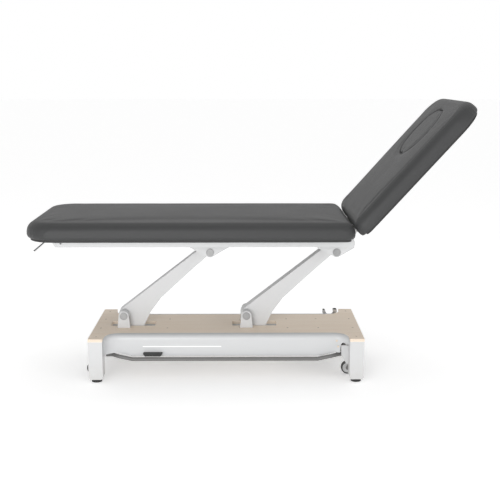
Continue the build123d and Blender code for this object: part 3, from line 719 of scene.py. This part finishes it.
class RingRow(Grower):
    """Rings threaded on a path, such as cooling fins and grip ribs."""

    name = "ring_row"
    sizes = {"Spacing": 0.01, "Radius": 0.01, "Rib": 0.001}

    def grow_instances(self) -> bpy.types.NodeSocket:
        """A torus at each point, facing along the path."""
        points, tangent = self.along_path()
        loop = self.add("GeometryNodeCurvePrimitiveCircle", {"Resolution": 40, "Radius": self.size("Radius")})
        profile = self.add("GeometryNodeCurvePrimitiveCircle", {"Resolution": 8, "Radius": self.size("Rib")})
        ring = self.add("GeometryNodeCurveToMesh", {"Curve": loop, "Profile Curve": profile})
        return self.instances(points, ring, self.turned("Z", tangent))


class CrossRecess(Grower):
    """The cross-shaped driver recess of a screw, on each point."""

    name = "cross_recess"
    sizes = {"Reach": 0.0052, "Slot": 0.0012, "Deep": 0.0003,
             "Facing X": 0.0, "Facing Y": 0.0, "Facing Z": 1.0}

    def grow_instances(self) -> bpy.types.NodeSocket:
        """Two crossed bars, turned to face the way the screw does."""
        bars = self.tree.nodes.new("GeometryNodeJoinGeometry")
        for first, second in (("Reach", "Slot"), ("Slot", "Reach")):
            bar = self.add("GeometryNodeMeshCube", {
                "Size": self.vector(self.size(first), self.size(second), self.size("Deep"))})
            self.tree.links.new(bar, bars.inputs[0])
        facing = self.vector(self.size("Facing X"), self.size("Facing Y"), self.size("Facing Z"))
        points = self.add("GeometryNodeMeshToPoints", {0: self.source.outputs["Geometry"]})
        return self.instances(points, bars.outputs[0], self.turned("Z", facing))


@dataclass
class Growers:
    """One tree of each kind, shared by the sub-assemblies."""

    weld: WeldBead = field(default_factory=WeldBead)
    blocks: BlockRow = field(default_factory=BlockRow)
    rings: RingRow = field(default_factory=RingRow)
    recess: CrossRecess = field(default_factory=CrossRecess)


# ---------------------------------------------------------------- sub-assemblies
@dataclass
class SubAssembly(ABC):
    """A group of pieces with their sizes."""

    shop: Workshop
    growers: Growers

    @abstractmethod
    def build(self) -> None:
        """Make the pieces, dress them and put them on their bodies."""

    def grown(self, tree: Grower, host: bpy.types.Mesh, name: str, body: str, slot: str, paint: Paint,
              smooth: bool = True, **sizes: float) -> bpy.types.Object:
        """Grow a detail on a host mesh and make it a piece.

        Args:
            tree: what grows.
            host: the path or points.
            name: the piece's name.
            body: the body it rides on.
            slot: its material slot.
            paint: its finish.
            smooth: whether it shades smoothly.
            sizes: the tree's sizes.

        Returns:
            The piece.
        """
        mesh = tree.grow(host, self.shop.paints.get(paint.value), **sizes)
        return self.shop.piece(name, mesh, body, slot, paint, smooth)


class PadEnd(Enum):
    """Which ends of a pad have large corners, where the cover is gathered."""

    FOOT = -1
    HEAD = 1


@dataclass
class Cushion(SubAssembly):
    """A foam pad in a tight cover, simulated as cloth around its own foam shape.

    The mesh is laid flat for the simulation. Its underside is held, its sides stay tight and its top crowns.
    rim_up draws the lower rim up, top_up lifts the top, and hinge_draw moves the end at the hinge along the
    table. firm is the least share of its limit that each point stands out, as the foam pushes back.
    """

    node: str = ""
    board: str = ""
    name: str = ""
    body: str = ""
    to_flat: Matrix = field(default_factory=Matrix)
    merge: float = 1e-5
    under: float = 0.6
    rim_up: float = 0.0
    top_up: float = 0.0
    hinge_draw: float = 0.0
    hinge_run: float = 0.1
    voxel: float = 0.009
    inset: float = 0.004
    low_move: float = 0.0028
    high_move: float = 0.0085
    pressure: float = 4.0
    frames: int = 20
    firm: float = 0.8
    fill: float = 0.9
    gathers: PadEnd | None = None
    corner: float = 0.12
    pleat: float = 0.0007
    pleat_turns: float = 30.0
    ripple: float = 0.0006
    ripple_scale: float = 9.0
    hole: tuple[float, float, float] | None = None
    hole_move: float = 0.004
    hole_reach: float = 0.2

    def build(self) -> None:
        """Shape the foam, fill it, add the gathers and put it in place of its node."""
        shell = scratch(self._foam())
        coords = [v.co.copy() for v in shell.data.vertices]
        low = Vector([min(c[i] for c in coords) for i in range(3)])
        high = Vector([max(c[i] for c in coords) for i in range(3)])
        self._shrink(shell.data, low)
        moves = self._fill(shell, low)
        ways = [v.normal.copy() for v in shell.data.vertices]
        for vert, move, way in zip(shell.data.vertices, moves, ways):
            limit = self._limit(vert.co, low, high)
            short = self.firm * limit - move.dot(way)
            if short > 0 and vert.co.z > low.z + self.voxel * self.under:
                move = move + way * short
            if move.length > limit:
                move = move * (limit / move.length)
            vert.co += move
        self._gather(shell.data, low, high)
        smooth = shell.modifiers.new("finer", "SUBSURF")
        smooth.levels = smooth.render_levels = 1
        mesh = applied(shell)
        mesh.transform(self.to_flat.inverted())
        pad = self.shop.piece(self.name, mesh, self.body, "pad", Paint.PAD)
        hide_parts(self.node)

    def _foam(self) -> bpy.types.Mesh:
        """The node's solid laid flat, closed over its board, and cut into even faces."""
        mesh = self.shop.frame["nodes"][self.node].data.copy()
        mesh.transform(self.to_flat)
        base_z = min(v.co.z for v in mesh.vertices)
        work = bmesh.new()
        work.from_mesh(mesh)
        if self.board:
            board = self.shop.frame["nodes"][self.board].data.copy()
            board.transform(self.to_flat)
            work.from_mesh(board)
        bmesh.ops.remove_doubles(work, verts=work.verts, dist=self.merge)
        work.to_mesh(mesh)
        work.free()
        solid = scratch(mesh)
        remesh = solid.modifiers.new("even", "REMESH")
        remesh.mode = "VOXEL"
        remesh.voxel_size = self.voxel
        foam = applied(solid)
        top_z = max(v.co.z for v in foam.vertices)
        end_of = max if self.hinge_draw > 0 else min
        hinge_x = end_of(v.co.x for v in foam.vertices)
        for vert in foam.vertices:
            rise = (vert.co.z - base_z) / (top_z - base_z)
            vert.co.z = max(vert.co.z, base_z + self.rim_up) + self.top_up * max(0.0, rise)
            vert.co.x += self.hinge_draw * max(0.0, 1 - abs(vert.co.x - hinge_x) / self.hinge_run)
        return foam

    def _shrink(self, mesh: bpy.types.Mesh, low: Vector) -> None:
        """Start the cover a little inside the foam; the underside only moves inwards in plan."""
        shifts = [v.normal * -self.inset for v in mesh.vertices]
        for vert, shift in zip(mesh.vertices, shifts):
            if vert.co.z < low.z + self.voxel * 0.5:
                shift.z = 0.0
            vert.co += shift

    def _fill(self, shell: bpy.types.Object, low: Vector) -> list[Vector]:
        """Blow the cover up as cloth, held by its underside, and say how each point moved."""
        held = shell.vertex_groups.new(name="held")
        under = [v.index for v in shell.data.vertices if v.co.z < low.z + self.voxel * self.under]
        held.add(under, 1.0, "REPLACE")
        cloth = shell.modifiers.new("fill", "CLOTH")
        cloth.settings.quality = 5
        cloth.settings.mass = 0.3
        cloth.settings.tension_stiffness = 20
        cloth.settings.compression_stiffness = 20
        cloth.settings.bending_stiffness = 2
        cloth.settings.use_pressure = True
        cloth.settings.uniform_pressure_force = self.pressure
        cloth.settings.effector_weights.gravity = 0
        cloth.settings.vertex_group_mass = held.name
        cloth.point_cache.frame_start = 1
        cloth.point_cache.frame_end = self.frames
        for frame in range(1, self.frames + 1):
            bpy.context.scene.frame_set(frame)
        graph = bpy.context.evaluated_depsgraph_get()
        blown = shell.evaluated_get(graph).data.vertices
        moves = [after.co - before.co for after, before in zip(blown, shell.data.vertices)]
        shell.modifiers.remove(cloth)
        bpy.context.scene.frame_set(1)
        return moves

    def _guess(self, mesh: bpy.types.Mesh, low: Vector) -> list[Vector]:
        """A stand-in for the simulation while other pieces are tried: straight out, as far as it may go."""
        return [v.normal * (self.high_move if v.co.z > low.z + self.voxel * self.under else 0.0)
                for v in mesh.vertices]

    def _limit(self, point: Vector, low: Vector, high: Vector) -> float:
        """How far a point may move: little at the rim and most at the crown."""
        crown = 1.0
        for axis in (0, 1):
            middle = (low[axis] + high[axis]) / 2
            half = (high[axis] - low[axis]) / 2
            crown *= max(0.0, 1 - abs((point[axis] - middle) / half) ** 4)
        limit = self.low_move + (self.high_move - self.low_move) * crown
        limit += noise.noise(point * self.ripple_scale) * self.ripple
        if self.hole is not None:
            x, a, b = self.hole
            away = math.hypot((point.x - x) / a, point.y / b) - 1
            near = max(0.0, 1 - abs(away) / self.hole_reach)
            limit += (self.hole_move - limit) * near
        return max(0.0, limit)

    def _gather(self, mesh: bpy.types.Mesh, low: Vector, high: Vector) -> None:
        """Draw small pleats round the large corners, where the cover is pulled under the board."""
        if self.gathers is None:
            return
        side = self.gathers.value
        end = low.x if side < 0 else high.x
        half = (high.y - low.y) / 2
        rise = (high.z - low.z) * 0.6
        for vert in mesh.vertices:
            y_side = 1 if vert.co.y > 0 else -1
            dx = (vert.co.x - (end - side * self.corner)) * side
            dy = (vert.co.y - y_side * (half - self.corner)) * y_side
            reach = math.hypot(dx, dy)
            if dx <= 0 or dy <= 0 or reach < self.corner * 0.75:
                continue
            low_down = max(0.0, 1 - (vert.co.z - low.z) / rise)
            turn = math.atan2(dy, dx)
            edge = math.sin(turn * 2)
            amount = self.pleat * low_down * edge * math.sin(turn * self.pleat_turns)
            vert.co.x += side * amount * dx / reach
            vert.co.y += y_side * amount * dy / reach


@dataclass
class TurnedUnder(SubAssembly):
    """The cover's hem, folded under a board's rim and stapled there."""

    board: str = ""
    name: str = ""
    body: str = ""
    to_flat: Matrix = field(default_factory=Matrix)
    closed_end: PadEnd = PadEnd.FOOT
    corner: float = 0.106
    margin: float = 0.0015
    width: float = 0.028
    thick: float = 0.0006
    staple_gap: float = 0.03

    def build(self) -> None:
        """Make the hem and its staples."""
        self.work = self.shop.frame["nodes"][self.board].data.copy()
        self.work.transform(self.to_flat)
        coords = [v.co for v in self.work.vertices]
        self.low = Vector([min(c[i] for c in coords) for i in range(3)])
        self.high = Vector([max(c[i] for c in coords) for i in range(3)])
        hem = self._hem()
        hem.transform(self.to_flat.inverted())
        self.shop.piece(f"{self.name}_hem", hem, self.body, "pad", Paint.PAD)
        middle = self._route(self.margin + self.width / 2)
        line = [Vector((p.x, p.y, self.low.z - self.thick)) for p in middle]
        path = path_mesh([self.to_flat.inverted() @ p for p in line])
        self.grown(self.growers.blocks, path, f"{self.name}_staples", self.body, "steel", Paint.STEEL, False,
                   Spacing=self.staple_gap, Along=0.010, Across=0.0009, High=0.0007)

    def _route(self, inset: float) -> list[Vector]:
        """The board's rim, moved inwards, from one open end round the closed end and back."""
        side = self.closed_end.value
        near_x = self.low.x if side < 0 else self.high.x
        open_x = (self.high.x - 0.05) if side < 0 else (self.low.x + 0.05)
        half = (self.high.y - self.low.y) / 2 - inset
        radius = self.corner - inset
        centre_x = near_x - side * self.corner
        route = [Vector((open_x, -half, 0))]
        for step in range(13):
            angle = math.pi / 2 * step / 12
            route.append(Vector((centre_x + side * radius * math.sin(angle),
                                 -(half - radius) - radius * math.cos(angle), 0)))
        back = [Vector((p.x, -p.y, 0)) for p in reversed(route)]
        return route + back

    def _hem(self) -> bpy.types.Mesh:
        """A thin, slightly puckered strip against the board's underside."""
        outer = self._route(self.margin)
        inner = self._route(self.margin + self.width)

        def build(work: bmesh.types.BMesh) -> None:
            """Add the strip as one closed band."""
            rows = []
            for index, (a, b) in enumerate(zip(outer, inner)):
                pucker = 0.0003 * (index % 2)
                rows.append([work.verts.new((p.x, p.y, z)) for p, z in (
                    (a, self.low.z), (b, self.low.z),
                    (b, self.low.z - self.thick * 0.7), (a, self.low.z - self.thick - pucker))])
            for first, second in zip(rows, rows[1:]):
                for k in range(4):
                    m = (k + 1) % 4
                    work.faces.new((first[k], first[m], second[m], second[k]))
            work.faces.new(rows[0])
            work.faces.new(list(reversed(rows[-1])))

        return mesh_of(build)


@dataclass
class BaseUnit(SubAssembly):
    """The deck, covers and end frames: screw recesses, the cover's inlay, switch ribs and inlet blades."""

    deck_ends: float = 0.529
    deck_rows: tuple[float, ...] = (-0.205, -0.072, 0.072, 0.205)
    deck_inner: tuple[float, ...] = (-0.250, 0.255, 0.384)
    deck_inner_row: float = 0.072
    recess_sunk: float = 0.0003
    switch_end: float = 0.014
    blade_back: float = 0.012
    blade_gap: float = 0.007
    stripe_start: float = -0.344
    stripe_end: float = -0.021
    stripe_z: float = 0.1345
    stripe_half: float = 0.0021
    stripe_proud: float = 0.0006
    cover_face: float = 0.178

    def build(self) -> None:
        """Make every detail of the base."""
        low, high = self.shop.corners("deck_board")
        self.middle = (low.x + high.x) / 2
        self.deck_top = high.z
        self._deck_recesses()
        self._stripe()
        self._switch_ribs()
        self._inlet_blades()

    def _deck_recesses(self) -> None:
        """Cross recesses in the deck's screw heads, drawn as near-black crosses that paint the shadow inside
        them.
        """
        spots = [(side * self.deck_ends, y) for side in (-1, 1) for y in self.deck_rows]
        spots += [(x, y * self.deck_inner_row) for x in self.deck_inner for y in (-1, 1)]
        points = points_mesh([(self.middle + x, y, self.deck_top - self.recess_sunk) for x, y in spots])
        # The crosses are painted shadow: near-black bars where the recess would only be in shade.
        self.grown(self.growers.recess, points, "deck_screw_recesses", "base", "steel", Paint.RECESS, False)

    def _stripe(self) -> None:
        """A thin glossy inlay with round ends, along the near cover."""
        start = self.middle + self.stripe_start + self.stripe_half
        end = self.middle + self.stripe_end - self.stripe_half

        def build(work: bmesh.types.BMesh) -> None:
            """Add the capsule-shaped plate."""
            rim = []
            for centre, first in ((end, -90), (start, 90)):
                for step in range(9):
                    angle = math.radians(first + 180 * step / 8)
                    rim.append((centre + self.stripe_half * math.cos(angle),
                                self.stripe_z + self.stripe_half * math.sin(angle)))
            front = [work.verts.new((x, -self.cover_face - self.stripe_proud, z)) for x, z in rim]
            rear = [work.verts.new((x, -self.cover_face + 0.0004, z)) for x, z in rim]
            work.faces.new(front)
            work.faces.new(list(reversed(rear)))
            for k in range(len(rim)):
                m = (k + 1) % len(rim)
                work.faces.new((front[k], rear[k], rear[m], front[m]))

        self.shop.piece("cover_inlay", mesh_of(build), "base", "cover_white", Paint.STRIPE, False)

    def _switch_ribs(self) -> None:
        """Upright grip ribs on both foot switches."""
        low, high = self.shop.corners("foot_switches")
        middle_z = (low.z + high.z) / 2
        for side, label in ((-1, "near"), (1, "far")):
            y = low.y if side < 0 else high.y
            start, end = low.x + self.switch_end, high.x - self.switch_end
            path = path_mesh([(start, y, middle_z), (end, y, middle_z)])
            self.grown(self.growers.blocks, path, f"switch_ribs_{label}", "base", "black_plastic",
                       Paint.BLACK, False, Spacing=0.006, Along=0.0022, Across=0.0012, High=0.0075)

    def _inlet_blades(self) -> None:
        """The three contact blades inside the power inlet."""
        low, high = self.shop.corners("power_inlet")
        z = (low.z + high.z) / 2
        x = high.x - self.blade_back
        path = path_mesh([(x, -self.blade_gap, z), (x, self.blade_gap, z)])
        self.grown(self.growers.blocks, path, "inlet_blades", "base", "steel", Paint.STEEL, False,
                   Spacing=self.blade_gap, Along=0.0018, Across=0.012, High=0.004)


@dataclass
class LiftArms(SubAssembly):
    """Weld beads where each arm's tubes pass through its sides."""

    bush_radius: float = 0.0125
    hub_radius: float = 0.022
    tube_radius: float = 0.021
    side: float = 0.030
    steps: int = 48
    bead: float = 0.0024

    def build(self) -> None:
        """Ring both tubes of both arms."""
        for arm in ("head_arm", "foot_arm"):
            low, high = self.shop.corners(f"{arm}_bushes")
            edge = self.bush_radius
            ends = ((low.x + edge, low.z + edge, self.hub_radius),
                    (high.x - edge, high.z - edge, self.tube_radius))
            for (x, z, radius), label in zip(ends, ("hub", "tube")):
                for sign, where in ((-1, "near"), (1, "far")):
                    path = path_mesh(self._ring(x, z, radius, sign * self.side), closed=True)
                    self.grown(self.growers.weld, path, f"{arm}_{label}_weld_{where}", arm, "white_paint",
                               Paint.WHITE, Spacing=self.bead, Radius=self.bead)

    def _ring(self, x: float, z: float, radius: float, y: float) -> list[tuple[float, float, float]]:
        """Points round a tube, where it meets the arm's side."""
        turns = [2 * math.pi * k / self.steps for k in range(self.steps)]
        return [(x + radius * math.cos(t), y, z + radius * math.sin(t)) for t in turns]


@dataclass
class Drive(SubAssembly):
    """The actuator's motor fins."""

    fin_gap: float = 0.009
    fin: float = 0.0012
    end_gap: float = 0.012

    def build(self) -> None:
        """Thread fins along the motor."""
        low, high = self.shop.corners("actuator_motor")
        y = (low.y + high.y) / 2
        z = (low.z + high.z) / 2
        radius = (high.z - low.z) / 2
        path = path_mesh([(low.x + self.end_gap, y, z), (high.x - self.end_gap, y, z)])
        self.grown(self.growers.rings, path, "motor_fins", "base", "motor_paint", Paint.MOTOR,
                   Spacing=self.fin_gap, Radius=radius, Rib=self.fin)


@dataclass
class UpperFrame(SubAssembly):
    """Weld beads between the gusset plates and the cross tubes they hang from."""

    gusset_faces: tuple[float, ...] = (0.136, 0.146)
    near_joint: tuple[float, float] = (-0.095, -0.065)
    far_joint: tuple[float, float] = (0.060, 0.090)
    stub_joint: tuple[float, float] = (0.0177, 0.0467)
    bush_radius: float = 0.0125
    run_in: float = 0.002
    bead: float = 0.0024

    def build(self) -> None:
        """Run a bead along each side of each gusset under each tube."""
        base_z = self.shop.corners("cross_members")[0].z
        rails = self.shop.corners("side_rails")
        base_z = max(base_z, rails[0].z)
        pivots = [self.shop.corners(f"{arm}_arm_bushes")[1].x - self.bush_radius for arm in ("foot", "head")]
        runs = []
        for pivot, second in zip(pivots, (self.far_joint, self.stub_joint)):
            for start, end in (self.near_joint, second):
                runs += [(pivot + start + self.run_in, pivot + end - self.run_in, sign * face)
                         for sign in (-1, 1) for face in self.gusset_faces]

        def build(work: bmesh.types.BMesh) -> None:
            """Add each run as one edge."""
            for start, end, y in runs:
                work.edges.new((work.verts.new((start, y, base_z)), work.verts.new((end, y, base_z))))

        self.grown(self.growers.weld, mesh_of(build), "gusset_welds", "upper_frame", "white_paint",
                   Paint.WHITE, Spacing=self.bead, Radius=self.bead)


@dataclass
class ReleaseGrip(SubAssembly):
    """Ribs round the release lever's grip."""

    radius: float = 0.0080
    length: float = 0.088
    end_gap: float = 0.006
    outer_run: float = 0.03
    rib_gap: float = 0.0065
    rib: float = 0.0009

    def build(self) -> None:
        """Thread ribs along the grip, whose centre is under its outer end."""
        node = self.shop.frame["nodes"]["release_lever"].data
        tip = min(-v.co.y for v in node.vertices)
        outer = [v.co for v in node.vertices if -v.co.y < tip + self.outer_run]
        x = (min(c.x for c in outer) + max(c.x for c in outer)) / 2
        z = (min(c.z for c in outer) + max(c.z for c in outer)) / 2
        path = path_mesh([(x, -tip - self.length, z), (x, -tip - self.end_gap, z)])
        self.grown(self.growers.rings, path, "release_grip_ribs", "release_lever", "black_plastic",
                   Paint.BLACK, Spacing=self.rib_gap, Radius=self.radius, Rib=self.rib)


@dataclass
class PedalTreads(SubAssembly):
    """Tread ribs on the two foot pads of the castor rocker."""

    rib: float = 0.0014
    rib_gap: float = 0.0045
    edge: float = 0.004
    pad_deep: float = 0.026
    end_face: float = 0.001
    first_pad: float = 0.02
    side_margin: float = 0.005

    def build(self) -> None:
        """Rib both pads, found by their places at either end of the rocker."""
        low, high = self.shop.corners("castor_pedal")
        verts = [v.co for v in self.shop.frame["nodes"]["castor_pedal"].data.vertices]
        outer_y = high.y
        for first, label in ((True, "small"), (False, "large")):
            outer = [c for c in verts if c.y > outer_y - self.end_face]
            pad = [c for c in outer if (c.x < low.x + self.first_pad) == first]
            x = (min(c.x for c in pad) + max(c.x for c in pad)) / 2
            top = max(c.z for c in pad)
            wide = max(c.x for c in pad) - min(c.x for c in pad)
            path = path_mesh([(x, outer_y - self.pad_deep, top), (x, outer_y - self.edge, top)])
            self.grown(self.growers.blocks, path, f"pedal_tread_{label}", "castor_pedal", "black_plastic",
                       Paint.BLACK, False, Spacing=self.rib_gap, Along=self.rib,
                       Across=wide - self.side_margin, High=self.rib)


# ---------------------------------------------------------------- studio
@dataclass
class Studio:
    """A pale floor, soft lights and the camera."""

    camera_at: tuple[float, float, float] = (-0.0214, -3.8696, 1.2398)
    camera_turn: tuple[float, float, float] = (79.219, 0.0, -0.4407)
    lens: float = 67.24
    sensor: float = 36.0
    floor_half: float = 40.0
    floor_tone: float = 0.95
    floor_glow: float = 0.32
    sky: float = 0.7

    def build(self) -> None:
        """Set everything up."""
        self._floor()
        bpy.context.scene.view_settings.view_transform = "Standard"
        self._light("key", (-1.4, -4.6, 0.9), (0.0, 0.0, 0.45), 2.2, 95.0)
        self._light("fill", (3.2, -3.2, 1.4), (0.1, 0.0, 0.4), 2.4, 25.0)
        self._light("top", (0.2, 1.4, 3.4), (0.0, 0.0, 0.5), 3.0, 10.0)
        self._world()
        self._camera()

    def _world(self) -> None:
        """An even sky, plain white where the camera sees it and dimmer as a light."""
        world = bpy.data.worlds.new("soft_room")
        world.use_nodes = True
        tree = world.node_tree
        seen, rays, mixed = (tree.nodes.new(kind) for kind in (
            "ShaderNodeBackground", "ShaderNodeLightPath", "ShaderNodeMixShader"))
        light = tree.nodes["Background"]
        light.inputs["Strength"].default_value = self.sky
        for shade in (light, seen):
            shade.inputs["Color"].default_value = grey(1.0)
        tree.links.new(rays.outputs["Is Camera Ray"], mixed.inputs[0])
        tree.links.new(light.outputs[0], mixed.inputs[1])
        tree.links.new(seen.outputs[0], mixed.inputs[2])
        tree.links.new(mixed.outputs[0], tree.nodes["World Output"].inputs[0])
        bpy.context.scene.world = world

    def _floor(self) -> None:
        """A wide plain floor."""
        half = self.floor_half

        def build(work: bmesh.types.BMesh) -> None:
            """Add one large face."""
            work.faces.new([work.verts.new((x, y, 0)) for x, y in
                            ((-half, -half), (half, -half), (half, half), (-half, half))])

        graph = Graph("pale_floor")
        mottle = graph.noise(graph.place(), 2.0, 2.0)
        colour = graph.blend(mottle, grey(self.floor_tone), grey(self.floor_tone * 0.99))
        mesh = mesh_of(build, "floor")
        material = graph.surface(colour, 0.75)
        shader = next(n for n in material.node_tree.nodes if n.type == "BSDF_PRINCIPLED")
        shader.inputs["Emission Color"].default_value = grey(1.0)
        shader.inputs["Emission Strength"].default_value = self.floor_glow
        mesh.materials.append(material)
        floor = bpy.data.objects.new("floor", mesh)
        bpy.context.scene.collection.objects.link(floor)

    @staticmethod
    def _light(name: str, at: Sequence[float], aim: Sequence[float], size: float, watts: float) -> None:
        """One square soft light.

        Args:
            name: its name.
            at: where it is.
            aim: the point it faces.
            size: its side, in metres.
            watts: its power.
        """
        lamp = bpy.data.lights.new(name, "AREA")
        lamp.size = size
        lamp.energy = watts
        light = bpy.data.objects.new(name, lamp)
        light.location = at
        light.rotation_euler = (Vector(aim) - Vector(at)).to_track_quat("-Z", "Y").to_euler()
        bpy.context.scene.collection.objects.link(light)

    def _camera(self) -> None:
        """The camera, from the near side and a little above."""
        data = bpy.data.cameras.new("camera")
        data.sensor_width = self.sensor
        data.lens = self.lens
        data.clip_end = 200.0
        camera = bpy.data.objects.new("camera", data)
        camera.location = self.camera_at
        camera.rotation_euler = [math.radians(a) for a in self.camera_turn]
        bpy.context.scene.collection.objects.link(camera)
        bpy.context.scene.camera = camera


# ---------------------------------------------------------------- assembly
def castor_finishes(shop: Workshop) -> dict[str, Finish]:
    """One finish for each castor wheel, centred on its own axle.

    Args:
        shop: the workshop.

    Returns:
        The finishes by node.
    """
    found: dict[str, Finish] = {}
    for node in shop.frame["nodes"]:
        if node.startswith("castor_wheel"):
            low, high = shop.corners(node)
            centre = (low + high) / 2
            found[node] = CastorTyre(f"{node}_finish", tuple(centre), 0.021, grey(0.07), grey(0.5))
    return found


def flattening(shop: Workshop) -> Matrix:
    """What lays the raised backrest level with the seat, about its hinge."""
    hinge = shop.pivot("backrest_tilt")
    angle = math.radians(-shop.joint("backrest_tilt")["range_deg"][0])
    return Matrix.Translation(hinge) @ Matrix.Rotation(angle, 4, "Y") @ Matrix.Translation(-hinge)


def face_oval(shop: Workshop, to_flat: Matrix) -> tuple[float, float, float]:
    """The face plug's middle and its half sizes along and across the table, laid flat."""
    mesh = shop.frame["nodes"]["face_plug"].data
    coords = [to_flat @ v.co for v in mesh.vertices]
    low, high = min(c.x for c in coords), max(c.x for c in coords)
    half_y = max(c.y for c in coords)
    return (low + high) / 2, (high - low) / 2, half_y


def main() -> None:
    """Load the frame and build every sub-assembly."""
    logging.basicConfig(level=logging.INFO, format="%(name)s %(message)s")
    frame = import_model()
    shop = Workshop(frame)
    growers = Growers()
    shop.paint_nodes({**castor_finishes(shop), "deck_and_cover_screws": Paint.SCREW.value,
                      "castor_pedal": Paint.STEEL.value, "castor_guides": Paint.WHITE.value})
    Studio().build()

    to_flat = flattening(shop)
    oval = face_oval(shop, to_flat)
    assemblies: list[SubAssembly] = [
        BaseUnit(shop, growers),
        LiftArms(shop, growers),
        Drive(shop, growers),
        UpperFrame(shop, growers),
        ReleaseGrip(shop, growers),
        PedalTreads(shop, growers),
        TurnedUnder(shop, growers, board="seat_board", name="seat", body="upper_frame"),
        TurnedUnder(shop, growers, board="backrest_board", name="backrest", body="backrest", to_flat=to_flat,
                    closed_end=PadEnd.HEAD, corner=0.096),
        Cushion(shop, growers, node="seat_pad", board="seat_board", name="seat_cushion", body="upper_frame",
                rim_up=0.005, top_up=0.007, hinge_draw=0.006, gathers=PadEnd.FOOT),
        Cushion(shop, growers, node="backrest_pad", board="backrest_board", name="backrest_cushion",
                body="backrest", to_flat=to_flat, rim_up=0.008, top_up=0.002, hinge_draw=-0.006,
                voxel=0.0066, high_move=0.0075, gathers=PadEnd.HEAD, corner=0.11, hole=oval),
        Cushion(shop, growers, node="face_plug", name="face_plug_cushion", body="face_plug", to_flat=to_flat,
                top_up=0.006, voxel=0.0045, inset=0.002, low_move=0.0012, high_move=0.0045),
    ]
    for assembly in assemblies:
        assembly.build()


if __name__ == "__main__":
    main()
